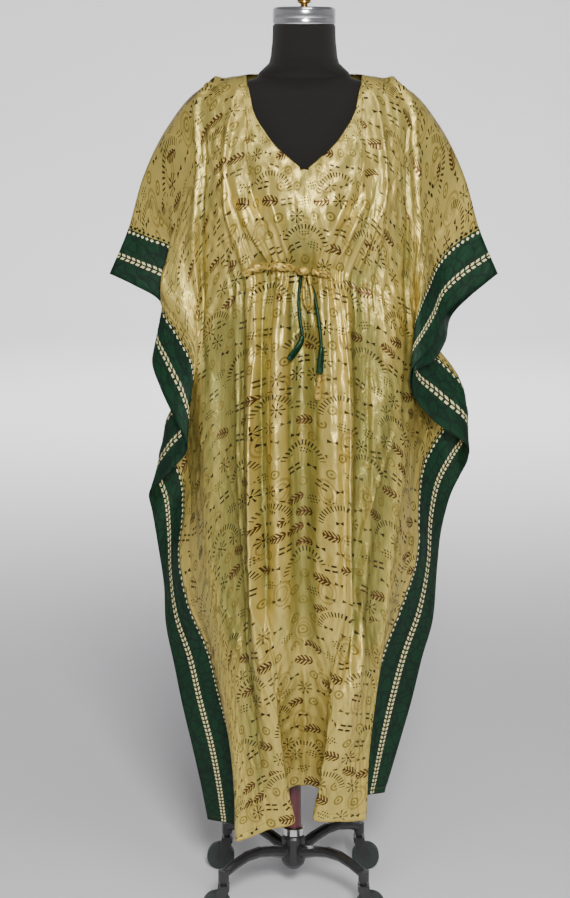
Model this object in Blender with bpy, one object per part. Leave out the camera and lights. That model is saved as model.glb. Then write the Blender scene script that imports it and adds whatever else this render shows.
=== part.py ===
"""Kaftan with a drawn-in waist and printed edge bands, on a limbless dress form with a wheeled stand.

The kaftan is two straight lengths of cloth joined at the shoulders and down the sides. Across the
cloth, a point is found by its distance s from the middle; along it, by its drop t from the shoulder.
The form stands on the floor at z = 0, and the kaftan faces -Y.
"""

import math

import bmesh
import bpy
import numpy as np
from mathutils import Vector
from mathutils.bvhtree import BVHTree

# The cut of the cloth, in metres
HALF_WIDTH = 0.525
DROP = 1.320
BAND = 0.082
WALL = 0.0015
SEAM = 0.0009
LAYER_GAP = 0.0006
NECK_HALF = 0.0984
NECK_DEPTH = 0.208
BACK_NECK_DEPTH = 0.022
SHOULDER_BEND = 0.050
SHOULDER_ROW = 0.020

# Neck edge of the front: distance from the middle, drop of the edge there (mm)
NECK_EDGE = (
    (0, 208),
    (50, 161),
    (83, 109),
    (94, 72),
    (98.4, 0),
)

# Shoulder line: distance along the cloth, out from the middle, height (mm)
SHOULDER = (
    (0, 0, 1452),
    (50, 50, 1452),
    (98, 97, 1450),
    (131, 129, 1446),
    (175, 169, 1428),
    (207, 198, 1410),
    (247, 221, 1379),
    (303, 245, 1331),
    (353, 268, 1285),
    (401, 289, 1243),
    (443, 299, 1190),
    (491, 318, 1155),
    (525, 332, 1113),
)

# Across the cloth, where the body threads of the next two tables lie (mm)
BODY_THREADS = (0, 50, 100, 190, 260)

# Front body. A row per height: how far out the threads at 50, 100, 190 and 260 lie,
# then how far forward those at 0, 50, 100, 190 and 260 lie (mm)
FRONT_BODY = (
    (1450, 50, 98, 172, 196, 46, 48, 52, 44, 30),
    (1400, 50, 98, 165, 186, 66, 70, 72, 60, 42),
    (1330, 50, 98, 158, 180, 106, 106, 100, 82, 60),
    (1280, 48, 96, 152, 178, 126, 124, 116, 98, 74),
    (1220, 42, 88, 140, 176, 145, 142, 134, 112, 84),
    (1165, 34, 72, 128, 172, 137, 134, 126, 106, 80),
    (1125, 26, 58, 120, 168, 116, 114, 110, 96, 74),
    (1080, 30, 62, 121, 170, 127, 125, 119, 102, 80),
    (1000, 34, 68, 124, 172, 144, 142, 134, 114, 88),
    (900, 36, 70, 126, 168, 153, 151, 142, 122, 96),
    (780, 36, 68, 124, 164, 158, 156, 148, 128, 100),
    (640, 34, 66, 116, 150, 158, 157, 150, 130, 104),
    (520, 32, 64, 108, 134, 154, 154, 152, 132, 108),
    (400, 40, 46, 92, 118, 110, 132, 150, 140, 118),
    (260, 44, 26, 74, 98, 62, 90, 142, 141, 126),
    (140, 42, 8, 62, 92, 40, 74, 132, 138, 130),
)

# Back body, the same columns, with how far back the threads lie (mm)
BACK_BODY = (
    (1450, 50, 98, 172, 196, 52, 54, 56, 46, 30),
    (1400, 50, 98, 165, 186, 78, 80, 80, 64, 42),
    (1330, 50, 98, 160, 182, 104, 104, 100, 86, 62),
    (1220, 46, 90, 150, 178, 122, 121, 115, 100, 80),
    (1125, 38, 78, 136, 172, 104, 102, 98, 88, 72),
    (1000, 42, 82, 140, 174, 124, 122, 116, 102, 84),
    (900, 44, 84, 142, 170, 132, 130, 123, 110, 92),
    (780, 44, 84, 138, 164, 138, 136, 129, 114, 94),
    (640, 42, 80, 128, 148, 138, 136, 129, 114, 92),
    (400, 38, 72, 110, 126, 134, 132, 124, 110, 88),
    (140, 36, 68, 98, 114, 130, 128, 120, 106, 84),
)

# Across the cloth, where the side threads of the next two tables lie (mm)
SIDE_THREADS = (360, 443, 525)

# Left side. A row per drop, then for the fold, the inner edge of the band and the selvedge:
# how far out, how far back, how high (mm)
LEFT_SIDE = (
    (0, 273, 0, 1277, 299, 0, 1190, 332, 0, 1113),
    (50, 247, -22, 1240, 263, -18, 1177, 287, -18, 1094),
    (100, 224, -48, 1198, 222, -32, 1160, 245, -28, 1069),
    (155, 227, -60, 1145, 215, -32, 1112, 238, -16, 1022),
    (210, 239, -66, 1096, 240, -50, 1063, 259, -32, 972),
    (265, 208, -80, 1058, 214, -66, 1018, 245, -52, 926),
    (320, 182, -84, 1014, 188, -78, 968, 219, -70, 872),
    (375, 180, -74, 966, 192, -66, 916, 198, -66, 823),
    (430, 194, -50, 917, 230, -30, 868, 226, -34, 779),
    (480, 203, -24, 865, 235, 0, 818, 264, 0, 734),
    (530, 196, -14, 809, 214, 20, 758, 264, 30, 690),
    (600, 186, -30, 739, 210, 12, 694, 258, 46, 637),
    (680, 184, -46, 658, 217, -4, 622, 247, 44, 558),
    (760, 178, -56, 571, 203, -10, 542, 244, 36, 491),
    (860, 159, -70, 477, 168, -18, 456, 229, 24, 417),
    (960, 142, -86, 390, 148, -28, 377, 215, 12, 349),
    (1080, 127, -102, 301, 125, -42, 290, 197, 2, 273),
    (1200, 120, -114, 221, 114, -50, 214, 181, -4, 200),
    (1320, 119, -122, 142, 109, -54, 142, 170, -8, 140),
)

# Right side, the same columns (mm)
RIGHT_SIDE = (
    (0, 273, 0, 1277, 299, 0, 1190, 332, 0, 1113),
    (50, 236, -22, 1240, 258, -20, 1166, 285, -20, 1082),
    (100, 209, -46, 1205, 227, -40, 1135, 245, -40, 1052),
    (155, 201, -70, 1162, 209, -74, 1101, 225, -74, 1014),
    (210, 196, -88, 1121, 194, -101, 1070, 200, -104, 984),
    (265, 189, -84, 1084, 184, -98, 1034, 178, -108, 958),
    (320, 190, -61, 1047, 192, -70, 996, 186, -80, 912),
    (375, 202, -48, 1014, 229, -36, 970, 226, -42, 862),
    (430, 224, -22, 974, 270, -10, 920, 279, -12, 820),
    (480, 230, 2, 926, 268, 16, 873, 284, 18, 788),
    (530, 214, 6, 880, 242, 26, 838, 277, 42, 758),
    (600, 192, -32, 814, 210, 6, 783, 260, 50, 718),
    (680, 180, -60, 735, 200, -14, 716, 244, 46, 654),
    (760, 169, -74, 648, 198, -30, 632, 237, 38, 588),
    (860, 152, -86, 560, 174, -40, 550, 230, 26, 500),
    (960, 137, -96, 474, 141, -48, 462, 211, 14, 433),
    (1080, 123, -106, 381, 116, -54, 368, 191, 2, 352),
    (1200, 113, -114, 290, 103, -57, 280, 168, -8, 272),
    (1320, 109, -120, 184, 97, -58, 196, 145, -14, 192),
)

# How far the back layer parts from the front one down each open armhole. A row per drop, then
# for the left and for the right: back at the fold, back at the selvedge, down, out (mm)
PARTING = (
    (0, 2, 2, 0, 0, 2, 2, 0, 0),
    (50, 51, 49, 2, 0, 44, 42, 8, 4),
    (100, 100, 90, 4, 0, 84, 70, 16, 10),
    (155, 108, 86, 4, 0, 80, 44, 14, 16),
    (210, 99, 82, 2, 0, 44, 24, 12, 16),
    (265, 60, 46, 0, 0, 12, 6, 0, 8),
    (320, 0, 0, 0, 0, 0, 0, 0, 0),
)

# Height of the front hem across the cloth: distance from the middle, height (mm)
FRONT_HEM = (
    (-260, 150),
    (-190, 166),
    (-100, 186),
    (0, 222),
    (100, 190),
    (190, 182),
    (260, 180),
)
BACK_HEM = (
    (-260, 152),
    (0, 165),
    (260, 185),
)

# Main folds of the front: s and t of the upper end, s and t of the lower end,
# half width, height (mm). A negative height is a trough.
FRONT_FOLDS = (
    (-128, 190, -96, 300, 20, 7),
    (-76, 190, -52, 300, 18, 7),
    (92, 180, 62, 295, 20, 7),
    (-140, 360, -130, 1040, 18, 13),
    (-64, 360, -62, 960, 22, 12),
    (-104, 370, -98, 940, 14, -7),
    (-14, 350, 0, 1020, 26, -16),
    (58, 360, 80, 960, 22, 12),
    (108, 390, 118, 1040, 15, 12),
    (152, 400, 150, 1040, 20, -9),
    (215, 420, 165, 1150, 26, 9),
    (-222, 420, -196, 1200, 28, -9),
)

# Main folds of the back, the same columns (mm)
BACK_FOLDS = (
    (-110, 140, -70, 300, 24, 7),
    (20, 120, 10, 300, 26, 6),
    (120, 150, 84, 300, 24, 7),
    (-180, 380, -170, 1260, 34, 12),
    (-92, 370, -84, 1300, 30, -9),
    (-30, 370, -34, 1240, 30, 10),
    (50, 370, 46, 1300, 30, -9),
    (118, 370, 112, 1280, 30, 11),
    (196, 400, 190, 1200, 30, -8),
)

# Where the cloth is sampled: across the body, across the bands, and down the drop (mm)
FRONT_COLUMNS = (
    0, 20, 40, 58, 74, 86, 94, 98.5, 112, 128, 146, 166, 188, 210, 232, 254, 278, 304, 332, 360,
    386, 414,
)
BACK_COLUMNS = (0, 30, 60, 82, 98, 118, 140, 164, 190, 218, 248, 278, 304, 332, 360, 386, 414)
BAND_COLUMNS = (469, 497)
SAMPLED_DROPS = (
    0, 18, 45, 72, 100, 128, 155, 182, 210, 237, 265, 292, 320, 347, 375, 402, 430, 455,
    480, 505, 530, 565, 600, 680, 760, 860, 960, 1080, 1200, 1320,
)

# The drawstring, seen on the front. A row per point: out to the right, height (mm)
STRING_LEFT = ((-101, 1122), (-92, 1129), (-76, 1135), (-56, 1138), (-36, 1137), (-15, 1133))
STRING_RIGHT = ((11, 1130), (22, 1127), (33, 1125), (43, 1121))
TIE_LEFT = ((-5, 1121.8), (-8, 1100), (-9, 1078), (-8, 1056), (-5, 1036), (-3, 1024))
TIE_RIGHT = ((4, 1121.4), (6, 1114), (14, 1099), (19, 1078), (23, 1054), (26, 1030), (28, 1008))
BOW_LOOP = (
    (1, 1121.8), (-1, 1104), (-1, 1088), (2, 1073), (7, 1066), (12, 1073), (13, 1088), (10, 1104), (7, 1121.4),
)
END_LEFT = ((-3, 1022.9), (-5, 1014), (-11, 1003), (-19, 993), (-26, 985))
END_RIGHT = ((28, 1007.3), (27.5, 991), (26, 976), (26, 962))
END_TIP = ((25.9, 961.3), (25, 948), (23, 934), (22, 919))
TIE_RADIUS = 0.0030
STRING_HALF_WIDTH = 0.0080
STRING_HALF_DEPTH = 0.0042
ON_CLOTH = 0.0005
STRING_STEP = 0.012

# The dress form. A row per height: half width, depth in front, depth behind (mm)
FORM_SECTIONS = (
    (716, 150, 96, 108),
    (740, 156, 104, 118),
    (830, 160, 116, 122),
    (920, 148, 110, 106),
    (1030, 126, 94, 90),
    (1120, 134, 98, 90),
    (1200, 150, 118, 96),
    (1250, 156, 118, 100),
    (1320, 164, 94, 90),
    (1370, 166, 72, 74),
    (1400, 166, 54, 58),
    (1420, 157, 38, 42),
    (1433, 124, 27, 33),
    (1442, 84, 29, 38),
    (1452, 76, 40, 45),
    (1466, 62, 49, 52),
    (1495, 55, 52, 54),
    (1530, 53, 51, 52),
)
FORM_SEGMENTS = 30
FORM_ROUNDNESS = 2.25

# The stand
STAND_X = -0.017
POLE_RADIUS = 0.014
CASTER_REACH = 0.172
SOCKET_RADIUS = 0.0095
WHEEL_RADIUS = 0.025
WHEEL_WIDTH = 0.017
WHEEL_FACETS = 24
TRAIL = 0.012
AXLE_RADIUS = 0.0040
BORE_RADIUS = 0.0048
FORK_GAP = 0.0012
CHEEK = 0.003
FLOOR_TO_AXLE = WHEEL_RADIUS * math.cos(math.pi / WHEEL_FACETS)
CROWN_BASE = 0.054
CROWN_TOP = 0.062


def millimetres(table):
    return np.array(table, dtype=float) * 0.001


def smooth_through(knots, values, at):
    """A smooth curve through the values at the knots, read at the places asked for."""
    knots = np.asarray(knots, dtype=float)
    values = np.asarray(values, dtype=float)
    at = np.asarray(at, dtype=float)
    slopes = np.gradient(values, knots, axis=0)
    first = np.clip(np.searchsorted(knots, at, side="right") - 1, 0, len(knots) - 2)
    step = knots[first + 1] - knots[first]
    u = np.clip((at - knots[first]) / step, 0.0, 1.0)
    extra = (1,) * (values.ndim - 1)
    u = u.reshape(u.shape + extra)
    step = step.reshape(step.shape + extra)
    return (
        (2 * u**3 - 3 * u**2 + 1) * values[first]
        + (u**3 - 2 * u**2 + u) * step * slopes[first]
        + (3 * u**2 - 2 * u**3) * values[first + 1]
        + (u**3 - u**2) * step * slopes[first + 1]
    )


def column(table, index, at, rising=True):
    """One named column of a table, read straight between its rows."""
    rows = millimetres(table)
    rows = rows if rising else rows[::-1]
    return np.interp(at, rows[:, 0], rows[:, index])


def ease(low, high, value):
    u = np.clip((value - low) / (high - low), 0.0, 1.0)
    return u * u * (3 - 2 * u)


def neck_drop(s, deepest, edge=NECK_EDGE):
    """How far below the shoulder the cloth starts at a distance s from the middle."""
    share = column(edge, 1, np.abs(s)) / NECK_DEPTH
    return np.where(np.abs(s) < NECK_HALF, share * deepest, 0.0)


def body_point(s, t, table, hem, facing):
    """A point of a body thread. It bends over the shoulder and then hangs to its hem."""
    start = column(SHOULDER, 2, abs(s))
    fall = math.hypot(t, SHOULDER_BEND) - SHOULDER_BEND
    whole = math.hypot(DROP, SHOULDER_BEND) - SHOULDER_BEND
    height = start + (column(hem, 1, s) - start) * fall / whole
    thread = millimetres(BODY_THREADS).tolist().index(abs(s))
    depth = column(table, 5 + thread, height, rising=False)
    out = 0.0 if thread == 0 else column(table, thread, height, rising=False)
    at_shoulder = math.exp(-((t / SHOULDER_BEND) ** 2))
    out += (column(SHOULDER, 1, abs(s)) - out) * at_shoulder
    at_ridge = min(1.0, (abs(s) / NECK_HALF) ** 2) if facing > 0 else 1.0
    depth *= 1 - at_ridge * math.exp(-t / 0.035)
    return (math.copysign(out, s), facing * depth, height)


def side_points(table, drops, sign):
    """The three side threads of one side at each drop."""
    rows = millimetres(table)
    read = smooth_through(rows[:, 0], rows[:, 1:], drops).reshape(len(drops), 3, 3)
    return read * (sign, 1.0, 1.0)


def front_net():
    """The front's control points: a row per drop of the side tables, a column per thread."""
    drops = millimetres([row[0] for row in LEFT_SIDE])
    drops = np.sort(np.append(drops, SHOULDER_ROW))
    inner = millimetres(BODY_THREADS)
    outer = millimetres(SIDE_THREADS)
    across = np.concatenate([-outer[::-1], -inner[:0:-1], inner, outer])
    net = np.zeros((len(drops), len(across), 3))
    net[:, :3] = side_points(LEFT_SIDE, drops, -1)[:, ::-1]
    net[:, -3:] = side_points(RIGHT_SIDE, drops, 1)
    for i, drop in enumerate(drops):
        net[i, 3:-3] = [body_point(s, drop, FRONT_BODY, FRONT_HEM, -1) for s in across[3:-3]]
    return drops, across, net


def on_net(net, s, t):
    """Points of the smooth surface through a net of control points."""
    drops, across, points = net
    s, t = np.broadcast_arrays(np.asarray(s, float), np.asarray(t, float))
    flat_s, flat_t = s.ravel(), t.ravel()
    lines = smooth_through(drops, points, flat_t)
    slopes = np.gradient(lines, across, axis=1)
    first = np.clip(np.searchsorted(across, flat_s, side="right") - 1, 0, len(across) - 2)
    step = (across[first + 1] - across[first])[:, None]
    u = ((flat_s - across[first])[:, None]) / step
    row = np.arange(len(flat_s))
    found = (
        (2 * u**3 - 3 * u**2 + 1) * lines[row, first]
        + (u**3 - 2 * u**2 + u) * step * slopes[row, first]
        + (3 * u**2 - 2 * u**3) * lines[row, first + 1]
        + (u**3 - u**2) * step * slopes[row, first + 1]
    )
    return found.reshape(s.shape + (3,))


def facing_of(surface, s, t, step=0.004):
    """The direction square to a surface, out of the front."""
    along_s = surface(s + step, t) - surface(s - step, t)
    along_t = surface(s, t + step) - surface(s, t - step)
    square = np.cross(along_t, along_s)
    return square / np.maximum(np.linalg.norm(square, axis=-1, keepdims=True), 1e-9)


def raised_by(folds, s, t):
    """How far the folds of a table raise the cloth."""
    raised = np.zeros(np.broadcast(s, t).shape)
    for s0, t0, s1, t1, half_width, height in millimetres(folds):
        along = (t - t0) / (t1 - t0)
        middle = s0 + (s1 - s0) * np.clip(along, 0, 1)
        ends = ease(-0.16, 0.12, along) * (1 - ease(0.88, 1.14, along))
        raised += height * np.exp(-(((s - middle) / half_width) ** 2)) * ends
    return raised


FRONT_NET = front_net()


def smooth_front(s, t):
    return on_net(FRONT_NET, s, t)


def front(s, t):
    """The outer face of the front."""
    base = smooth_front(s, t)
    square = facing_of(smooth_front, s, t)
    return base + square * raised_by(FRONT_FOLDS, s, t)[..., None]


def back_net():
    """The back's control points. Below the armholes its sides follow the front's."""
    drops, across, _ = FRONT_NET
    layers = 2 * WALL + LAYER_GAP
    net = np.zeros((len(drops), len(across), 3))
    for i, drop in enumerate(drops):
        for j, s in enumerate(across):
            if abs(s) <= 0.26:
                net[i, j] = body_point(s, drop, BACK_BODY, BACK_HEM, 1)
                continue
            here = np.array([s]), np.array([drop])
            at_front = smooth_front(*here)[0]
            if drop > 0.3:
                net[i, j] = at_front - facing_of(smooth_front, *here)[0] * layers
                continue
            at_fold, at_edge, down, out = [
                column(PARTING, k + (1 if s < 0 else 5), drop) for k in range(4)
            ]
            outward = (abs(s) - 0.360) / (HALF_WIDTH - 0.360)
            apart = at_fold + (at_edge - at_fold) * outward
            net[i, j] = at_front + (math.copysign(out, s), apart, -down)
    middle = [k for k, s in enumerate(across) if abs(abs(s) - 0.360) < 1e-6]
    for k in middle:
        inward = 1 if across[k] < 0 else -1
        between = 0.45 * net[:, k + inward] + 0.55 * net[:, k - inward]
        net[:, k] += (between - net[:, k]) * ease(0.56, 0.72, drops)[:, None]
    return drops, across, net


BACK_NET = back_net()


def smooth_back(s, t):
    """The outer face of the back, which closes on the front's inner face at the sides."""
    layers = 2 * WALL + LAYER_GAP
    free = on_net(BACK_NET, s, t)
    lying = smooth_front(s, t) - facing_of(smooth_front, s, t) * layers
    lower = ease(0.56, 0.72, t)
    joined = ease(0.300 + 0.100 * lower, 0.352 + 0.080 * lower, np.abs(s)) * ease(0.250, 0.315, t)
    return free + (lying - free) * joined[..., None]


def back(s, t):
    base = smooth_back(s, t)
    at_ridge = (np.abs(s) < 0.3) & (t < 0.1)
    base[..., 1] = np.where(at_ridge, np.maximum(base[..., 1], 0.0), base[..., 1])
    square = -facing_of(smooth_back, s, t)
    return base + square * raised_by(BACK_FOLDS, s, t)[..., None]


def drops_below(s, deepest):
    """The sampled drops of a column, closed up under the neck edge."""
    share = millimetres(SAMPLED_DROPS) / DROP
    closing = np.clip(1 - share / 0.5, 0, 1) ** 2
    return share * DROP + neck_drop(s, deepest) * closing


def cloth_grid(surface, turn, columns, deepest):
    """The outer and inner points of a piece of cloth, a row per column of it."""
    s = np.repeat(np.array(columns)[:, None], len(SAMPLED_DROPS), axis=1)
    t = np.array([drops_below(c, deepest) for c in columns])
    outer = surface(s, t)
    square = turn * facing_of(surface, s, t)
    lift = np.where(t < 0.0005, -0.0003 * turn, 0.0)
    outer[..., 1] += lift
    inner = outer - square * WALL
    inner[..., 1] = np.where(t < 0.0005, outer[..., 1], inner[..., 1])
    return outer, inner


def slab(name, outer, inner, colour, roughness):
    """A closed wall between two grids of points."""
    mesh = bmesh.new()
    across, down = outer.shape[:2]
    top = [[mesh.verts.new(p) for p in line] for line in outer]
    low = [[mesh.verts.new(p) for p in line] for line in inner]
    for i in range(across - 1):
        for j in range(down - 1):
            mesh.faces.new((top[i][j], top[i][j + 1], top[i + 1][j + 1], top[i + 1][j]))
            mesh.faces.new((low[i][j], low[i + 1][j], low[i + 1][j + 1], low[i][j + 1]))
    rim = [(i, 0) for i in range(across)]
    rim += [(across - 1, j) for j in range(1, down)]
    rim += [(i, down - 1) for i in range(across - 2, -1, -1)]
    rim += [(0, j) for j in range(down - 2, 0, -1)]
    for (i, j), (k, m) in zip(rim, rim[1:] + rim[:1]):
        mesh.faces.new((top[i][j], top[k][m], low[k][m], low[i][j]))
    return placed(name, mesh, colour, roughness)


def placed(name, mesh, colour, roughness, metallic=0.0, smooth=True):
    """Turns a mesh's faces out, and puts it in the scene with its own material."""
    bmesh.ops.triangulate(mesh, faces=mesh.faces[:])
    bmesh.ops.recalc_face_normals(mesh, faces=mesh.faces[:])
    data = bpy.data.meshes.new(name)
    mesh.to_mesh(data)
    mesh.free()
    for face in data.polygons:
        face.use_smooth = smooth
    made = bpy.data.objects.new(name, data)
    bpy.context.scene.collection.objects.link(made)
    made.data.materials.append(finish(name, colour, roughness, metallic))
    return made


def finish(name, colour, roughness, metallic=0.0):
    made = bpy.data.materials.new(name)
    made.use_nodes = True
    shader = made.node_tree.nodes["Principled BSDF"]
    shader.inputs["Base Color"].default_value = (*colour, 1.0)
    shader.inputs["Roughness"].default_value = roughness
    shader.inputs["Metallic"].default_value = metallic
    return made


# Colours as linear light
GOLD_CLOTH = (0.60, 0.46, 0.20)
GREEN_CLOTH = (0.010, 0.070, 0.034)
BLACK_JERSEY = (0.012, 0.012, 0.013)
CHROME = (0.60, 0.60, 0.60)
BRASS = (0.62, 0.45, 0.16)
MAROON_PAINT = (0.10, 0.018, 0.020)
BLACK_PAINT = (0.02, 0.02, 0.02)
DARK_RUBBER = (0.022, 0.030, 0.024)

# How far everything is set back, so that its depth lies evenly about the origin
SET_BACK = 0.0101


def mirrored_columns(columns):
    inner = list(millimetres(columns)) + [HALF_WIDTH - BAND - SEAM / 2]
    return [-s for s in inner[:0:-1]] + inner


def band_columns(sign):
    edges = [HALF_WIDTH - BAND + SEAM / 2, *millimetres(BAND_COLUMNS), HALF_WIDTH]
    return sorted(sign * s for s in edges)


def kaftan():
    gold = (GOLD_CLOTH, 0.45)
    green = (GREEN_CLOTH, 0.42)
    front_columns = mirrored_columns(FRONT_COLUMNS)
    panel = slab("front_panel", *cloth_grid(front, 1, front_columns, NECK_DEPTH), *gold)
    slab("back_panel", *cloth_grid(back, -1, mirrored_columns(BACK_COLUMNS), BACK_NECK_DEPTH), *gold)
    for side, sign in (("left", -1), ("right", 1)):
        slab("front_band_" + side, *cloth_grid(front, 1, band_columns(sign), 0.0), *green)
        slab("back_band_" + side, *cloth_grid(back, -1, band_columns(sign), 0.0), *green)
    drawstring(panel)


def superellipse(half_width, front_depth, back_depth, segments, power):
    """A closed section, rounder or squarer by its power."""
    turn = np.arange(segments) * (2 * math.pi / segments)
    across = np.sign(np.cos(turn)) * np.abs(np.cos(turn)) ** (2 / power)
    along = np.sign(np.sin(turn)) * np.abs(np.sin(turn)) ** (2 / power)
    return half_width * across, along * np.where(along < 0, front_depth, back_depth)


def loft(name, rings, colour, roughness, metallic=0.0, smooth=True):
    """A closed body through rings of points, with flat ends."""
    mesh = bmesh.new()
    made = [[mesh.verts.new(p) for p in ring] for ring in rings]
    count = len(rings[0])
    for low, high in zip(made, made[1:]):
        for k in range(count):
            mesh.faces.new((low[k], low[(k + 1) % count], high[(k + 1) % count], high[k]))
    mesh.faces.new(made[0][::-1])
    mesh.faces.new(made[-1])
    return placed(name, mesh, colour, roughness, metallic, smooth)


def turned(name, x, y, profile, segments, colour, roughness, metallic=0.0, smooth=True):
    """A round body from a profile of radius and height pairs."""
    turn = np.arange(segments) * (2 * math.pi / segments)
    rings = [[(x + r * math.cos(a), y + r * math.sin(a), z) for a in turn] for r, z in profile]
    return loft(name, rings, colour, roughness, metallic, smooth)


def dress_form():
    rings = []
    table = millimetres(FORM_SECTIONS)
    heights = []
    for low, high in zip(table[:, 0], table[1:, 0]):
        steps = max(1, round((high - low) / 0.050))
        heights += list(np.linspace(low, high, steps, endpoint=False))
    heights.append(table[-1, 0])
    sizes = smooth_through(table[:, 0], table[:, 1:], np.array(heights))
    for z, (half_width, ahead, behind) in zip(heights, sizes):
        x, y = superellipse(half_width, ahead, behind, FORM_SEGMENTS, FORM_ROUNDNESS)
        rings.append([(a, b, z) for a, b in zip(x, y)])
    loft("form_body", rings, BLACK_JERSEY, 0.85)
    turned("neck_cap", 0, 0, [(0.051, 1.5304), (0.053, 1.533), (0.053, 1.554), (0.048, 1.560)],
           32, CHROME, 0.25, 1.0)
    knob = [(0.006, 1.5604), (0.006, 1.566), (0.013, 1.569), (0.018, 1.576), (0.020, 1.585),
            (0.018, 1.594), (0.012, 1.602), (0.005, 1.605)]
    turned("cap_knob", 0, 0, knob, 24, BRASS, 0.3, 1.0)


def swept(name, route, radii, sides, colour, roughness, metallic=0.0):
    """A round bar along a route that lies in one upright plane."""
    route = np.array(route)
    rings = []
    for i, point in enumerate(route):
        ahead = route[min(i + 1, len(route) - 1)] - route[max(i - 1, 0)]
        ahead /= np.linalg.norm(ahead)
        aside = np.cross(ahead, (0, 0, 1.0))
        aside /= np.linalg.norm(aside)
        above = np.cross(aside, ahead)
        turn = np.arange(sides) * (2 * math.pi / sides)
        rings.append([point + radii[i] * (math.cos(a) * aside + math.sin(a) * above) for a in turn])
    return loft(name, rings, colour, roughness, metallic)


def round_bar(centre, radius, low, high, count=12):
    """An upright round bar as a loose mesh."""
    mesh = bmesh.new()
    rings = [
        [
            mesh.verts.new((
                centre[0] + radius * math.cos(k * 2 * math.pi / count),
                centre[1] + radius * math.sin(k * 2 * math.pi / count),
                z,
            ))
            for k in range(count)
        ]
        for z in (low, high)
    ]
    mesh.faces.new(rings[0][::-1])
    mesh.faces.new(rings[1])
    for k in range(count):
        m = (k + 1) % count
        mesh.faces.new((rings[0][k], rings[0][m], rings[1][m], rings[1][k]))
    return mesh


def cloth_face(panel):
    """Reads how far forward a panel's face is over a small patch, seen from the front."""
    points = [v.co.copy() for v in panel.data.vertices]
    tree = BVHTree.FromPolygons(points, [list(f.vertices) for f in panel.data.polygons])

    def foremost(x, z, reach):
        hits = []
        for across in (-reach, 0.0, reach):
            for up in (-reach, 0.0, reach):
                place = tree.ray_cast(Vector((x + across, -1.0, z + up)), Vector((0, 1, 0)))[0]
                if place is not None:
                    hits.append(place.y)
        return min(hits)

    return foremost


def laid_route(table, foremost, half_depth, reach, ahead=0.0):
    """The points of a string that lies on the panel, standing off by half its depth."""
    points = millimetres(table)
    along = np.append(0.0, np.cumsum(np.linalg.norm(np.diff(points, axis=0), axis=1)))
    count = round(along[-1] / STRING_STEP) + 1
    places = smooth_through(along, points, np.linspace(0, along[-1], count))
    return [(x, foremost(x, z, reach) - half_depth - ON_CLOTH - ahead, z) for x, z in places]


def tie(name, route, radius, colour):
    """A thin cord along its route."""
    line = bpy.data.curves.new(name, "CURVE")
    line.dimensions = "3D"
    spline = line.splines.new("POLY")
    spline.points.add(len(route) - 1)
    for point, place in zip(spline.points, route):
        point.co = (*place, 1.0)
    line.bevel_depth = radius
    line.bevel_resolution = 2
    line.use_fill_caps = True
    made = bpy.data.objects.new(name, line)
    bpy.context.scene.collection.objects.link(made)
    line.materials.append(finish(name, colour, 0.5))


def folded_strip(name, route, half_width, half_depth, turn_from, turn_to, colour):
    """A strip with an oval section that turns about its length from one end to the other."""
    route = np.array(route)
    rings = []
    for i, point in enumerate(route):
        ahead = route[min(i + 1, len(route) - 1)] - route[max(i - 1, 0)]
        ahead /= np.linalg.norm(ahead)
        aside = np.cross(ahead, (0, -1.0, 0))
        aside /= np.linalg.norm(aside)
        out = np.cross(aside, ahead)
        share = i / (len(route) - 1)
        turn = math.radians(turn_from + (turn_to - turn_from) * share)
        wide = math.cos(turn) * aside + math.sin(turn) * out
        deep = -math.sin(turn) * aside + math.cos(turn) * out
        end = 0.72 if i in (0, len(route) - 1) else 1.0
        angles = np.arange(8) * (2 * math.pi / 8)
        rings.append([
            point + end * (half_width * math.cos(a) * wide + half_depth * math.sin(a) * deep)
            for a in angles
        ])
    loft(name, rings, colour, 0.5)


def drawstring(panel):
    """The string over the gathered waist, its knot, its bow loop and its two ties."""
    foremost = cloth_face(panel)
    wide, deep = STRING_HALF_WIDTH, STRING_HALF_DEPTH
    left = laid_route(STRING_LEFT, foremost, deep, 0.007)
    folded_strip("drawstring_left", left, wide, deep, 0, 0, GOLD_CLOTH)
    right = laid_route(STRING_RIGHT, foremost, deep, 0.006)
    folded_strip("drawstring_right", right, wide * 0.8, deep, 0, 0, GOLD_CLOTH)
    knot_face = foremost(-0.002, 1.129, 0.009)
    middle = (-0.002, knot_face - 0.0085 - ON_CLOTH, 1.130)
    knot = [
        [
            (middle[0] + 0.0122 * ring * math.cos(a), middle[1] + 0.0085 * ring * math.sin(a),
             middle[2] + 0.008 * up)
            for a in np.arange(12) * (math.pi / 6)
        ]
        for ring, up in ((0.75, -0.95), (0.95, -0.5), (1.0, 0.0), (0.90, 0.5), (0.6, 0.95))
    ]
    loft("knot", knot, GOLD_CLOTH, 0.5)
    r = TIE_RADIUS
    tie("tie_left", laid_route(TIE_LEFT, foremost, r, 0.001), r, GREEN_CLOTH)
    tie("tie_right", laid_route(TIE_RIGHT, foremost, r, 0.001), r, GREEN_CLOTH)
    loop = laid_route(BOW_LOOP, foremost, r, 0.002, ahead=2 * r + 3 * ON_CLOTH)
    tie("bow_loop", loop, r, GOLD_CLOTH)
    for name, table, colour in (("tie_end_left", END_LEFT, GREEN_CLOTH),
                                ("tie_end_right", END_RIGHT, GREEN_CLOTH),
                                ("tie_tip_right", END_TIP, GOLD_CLOTH)):
        folded_strip(name, laid_route(table, foremost, 0.0035, 0.004), 0.0065, 0.0035, 0, 0, colour)


def box_into(mesh, low, high):
    corners = [(x, y, z) for x in (low[0], high[0]) for y in (low[1], high[1]) for z in (low[2], high[2])]
    points = [mesh.verts.new(c) for c in corners]
    for a, b, c, d in ((0, 1, 3, 2), (4, 6, 7, 5), (0, 4, 5, 1), (2, 3, 7, 6), (0, 2, 6, 4), (1, 5, 7, 3)):
        mesh.faces.new([points[k] for k in (a, b, c, d)])


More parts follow.
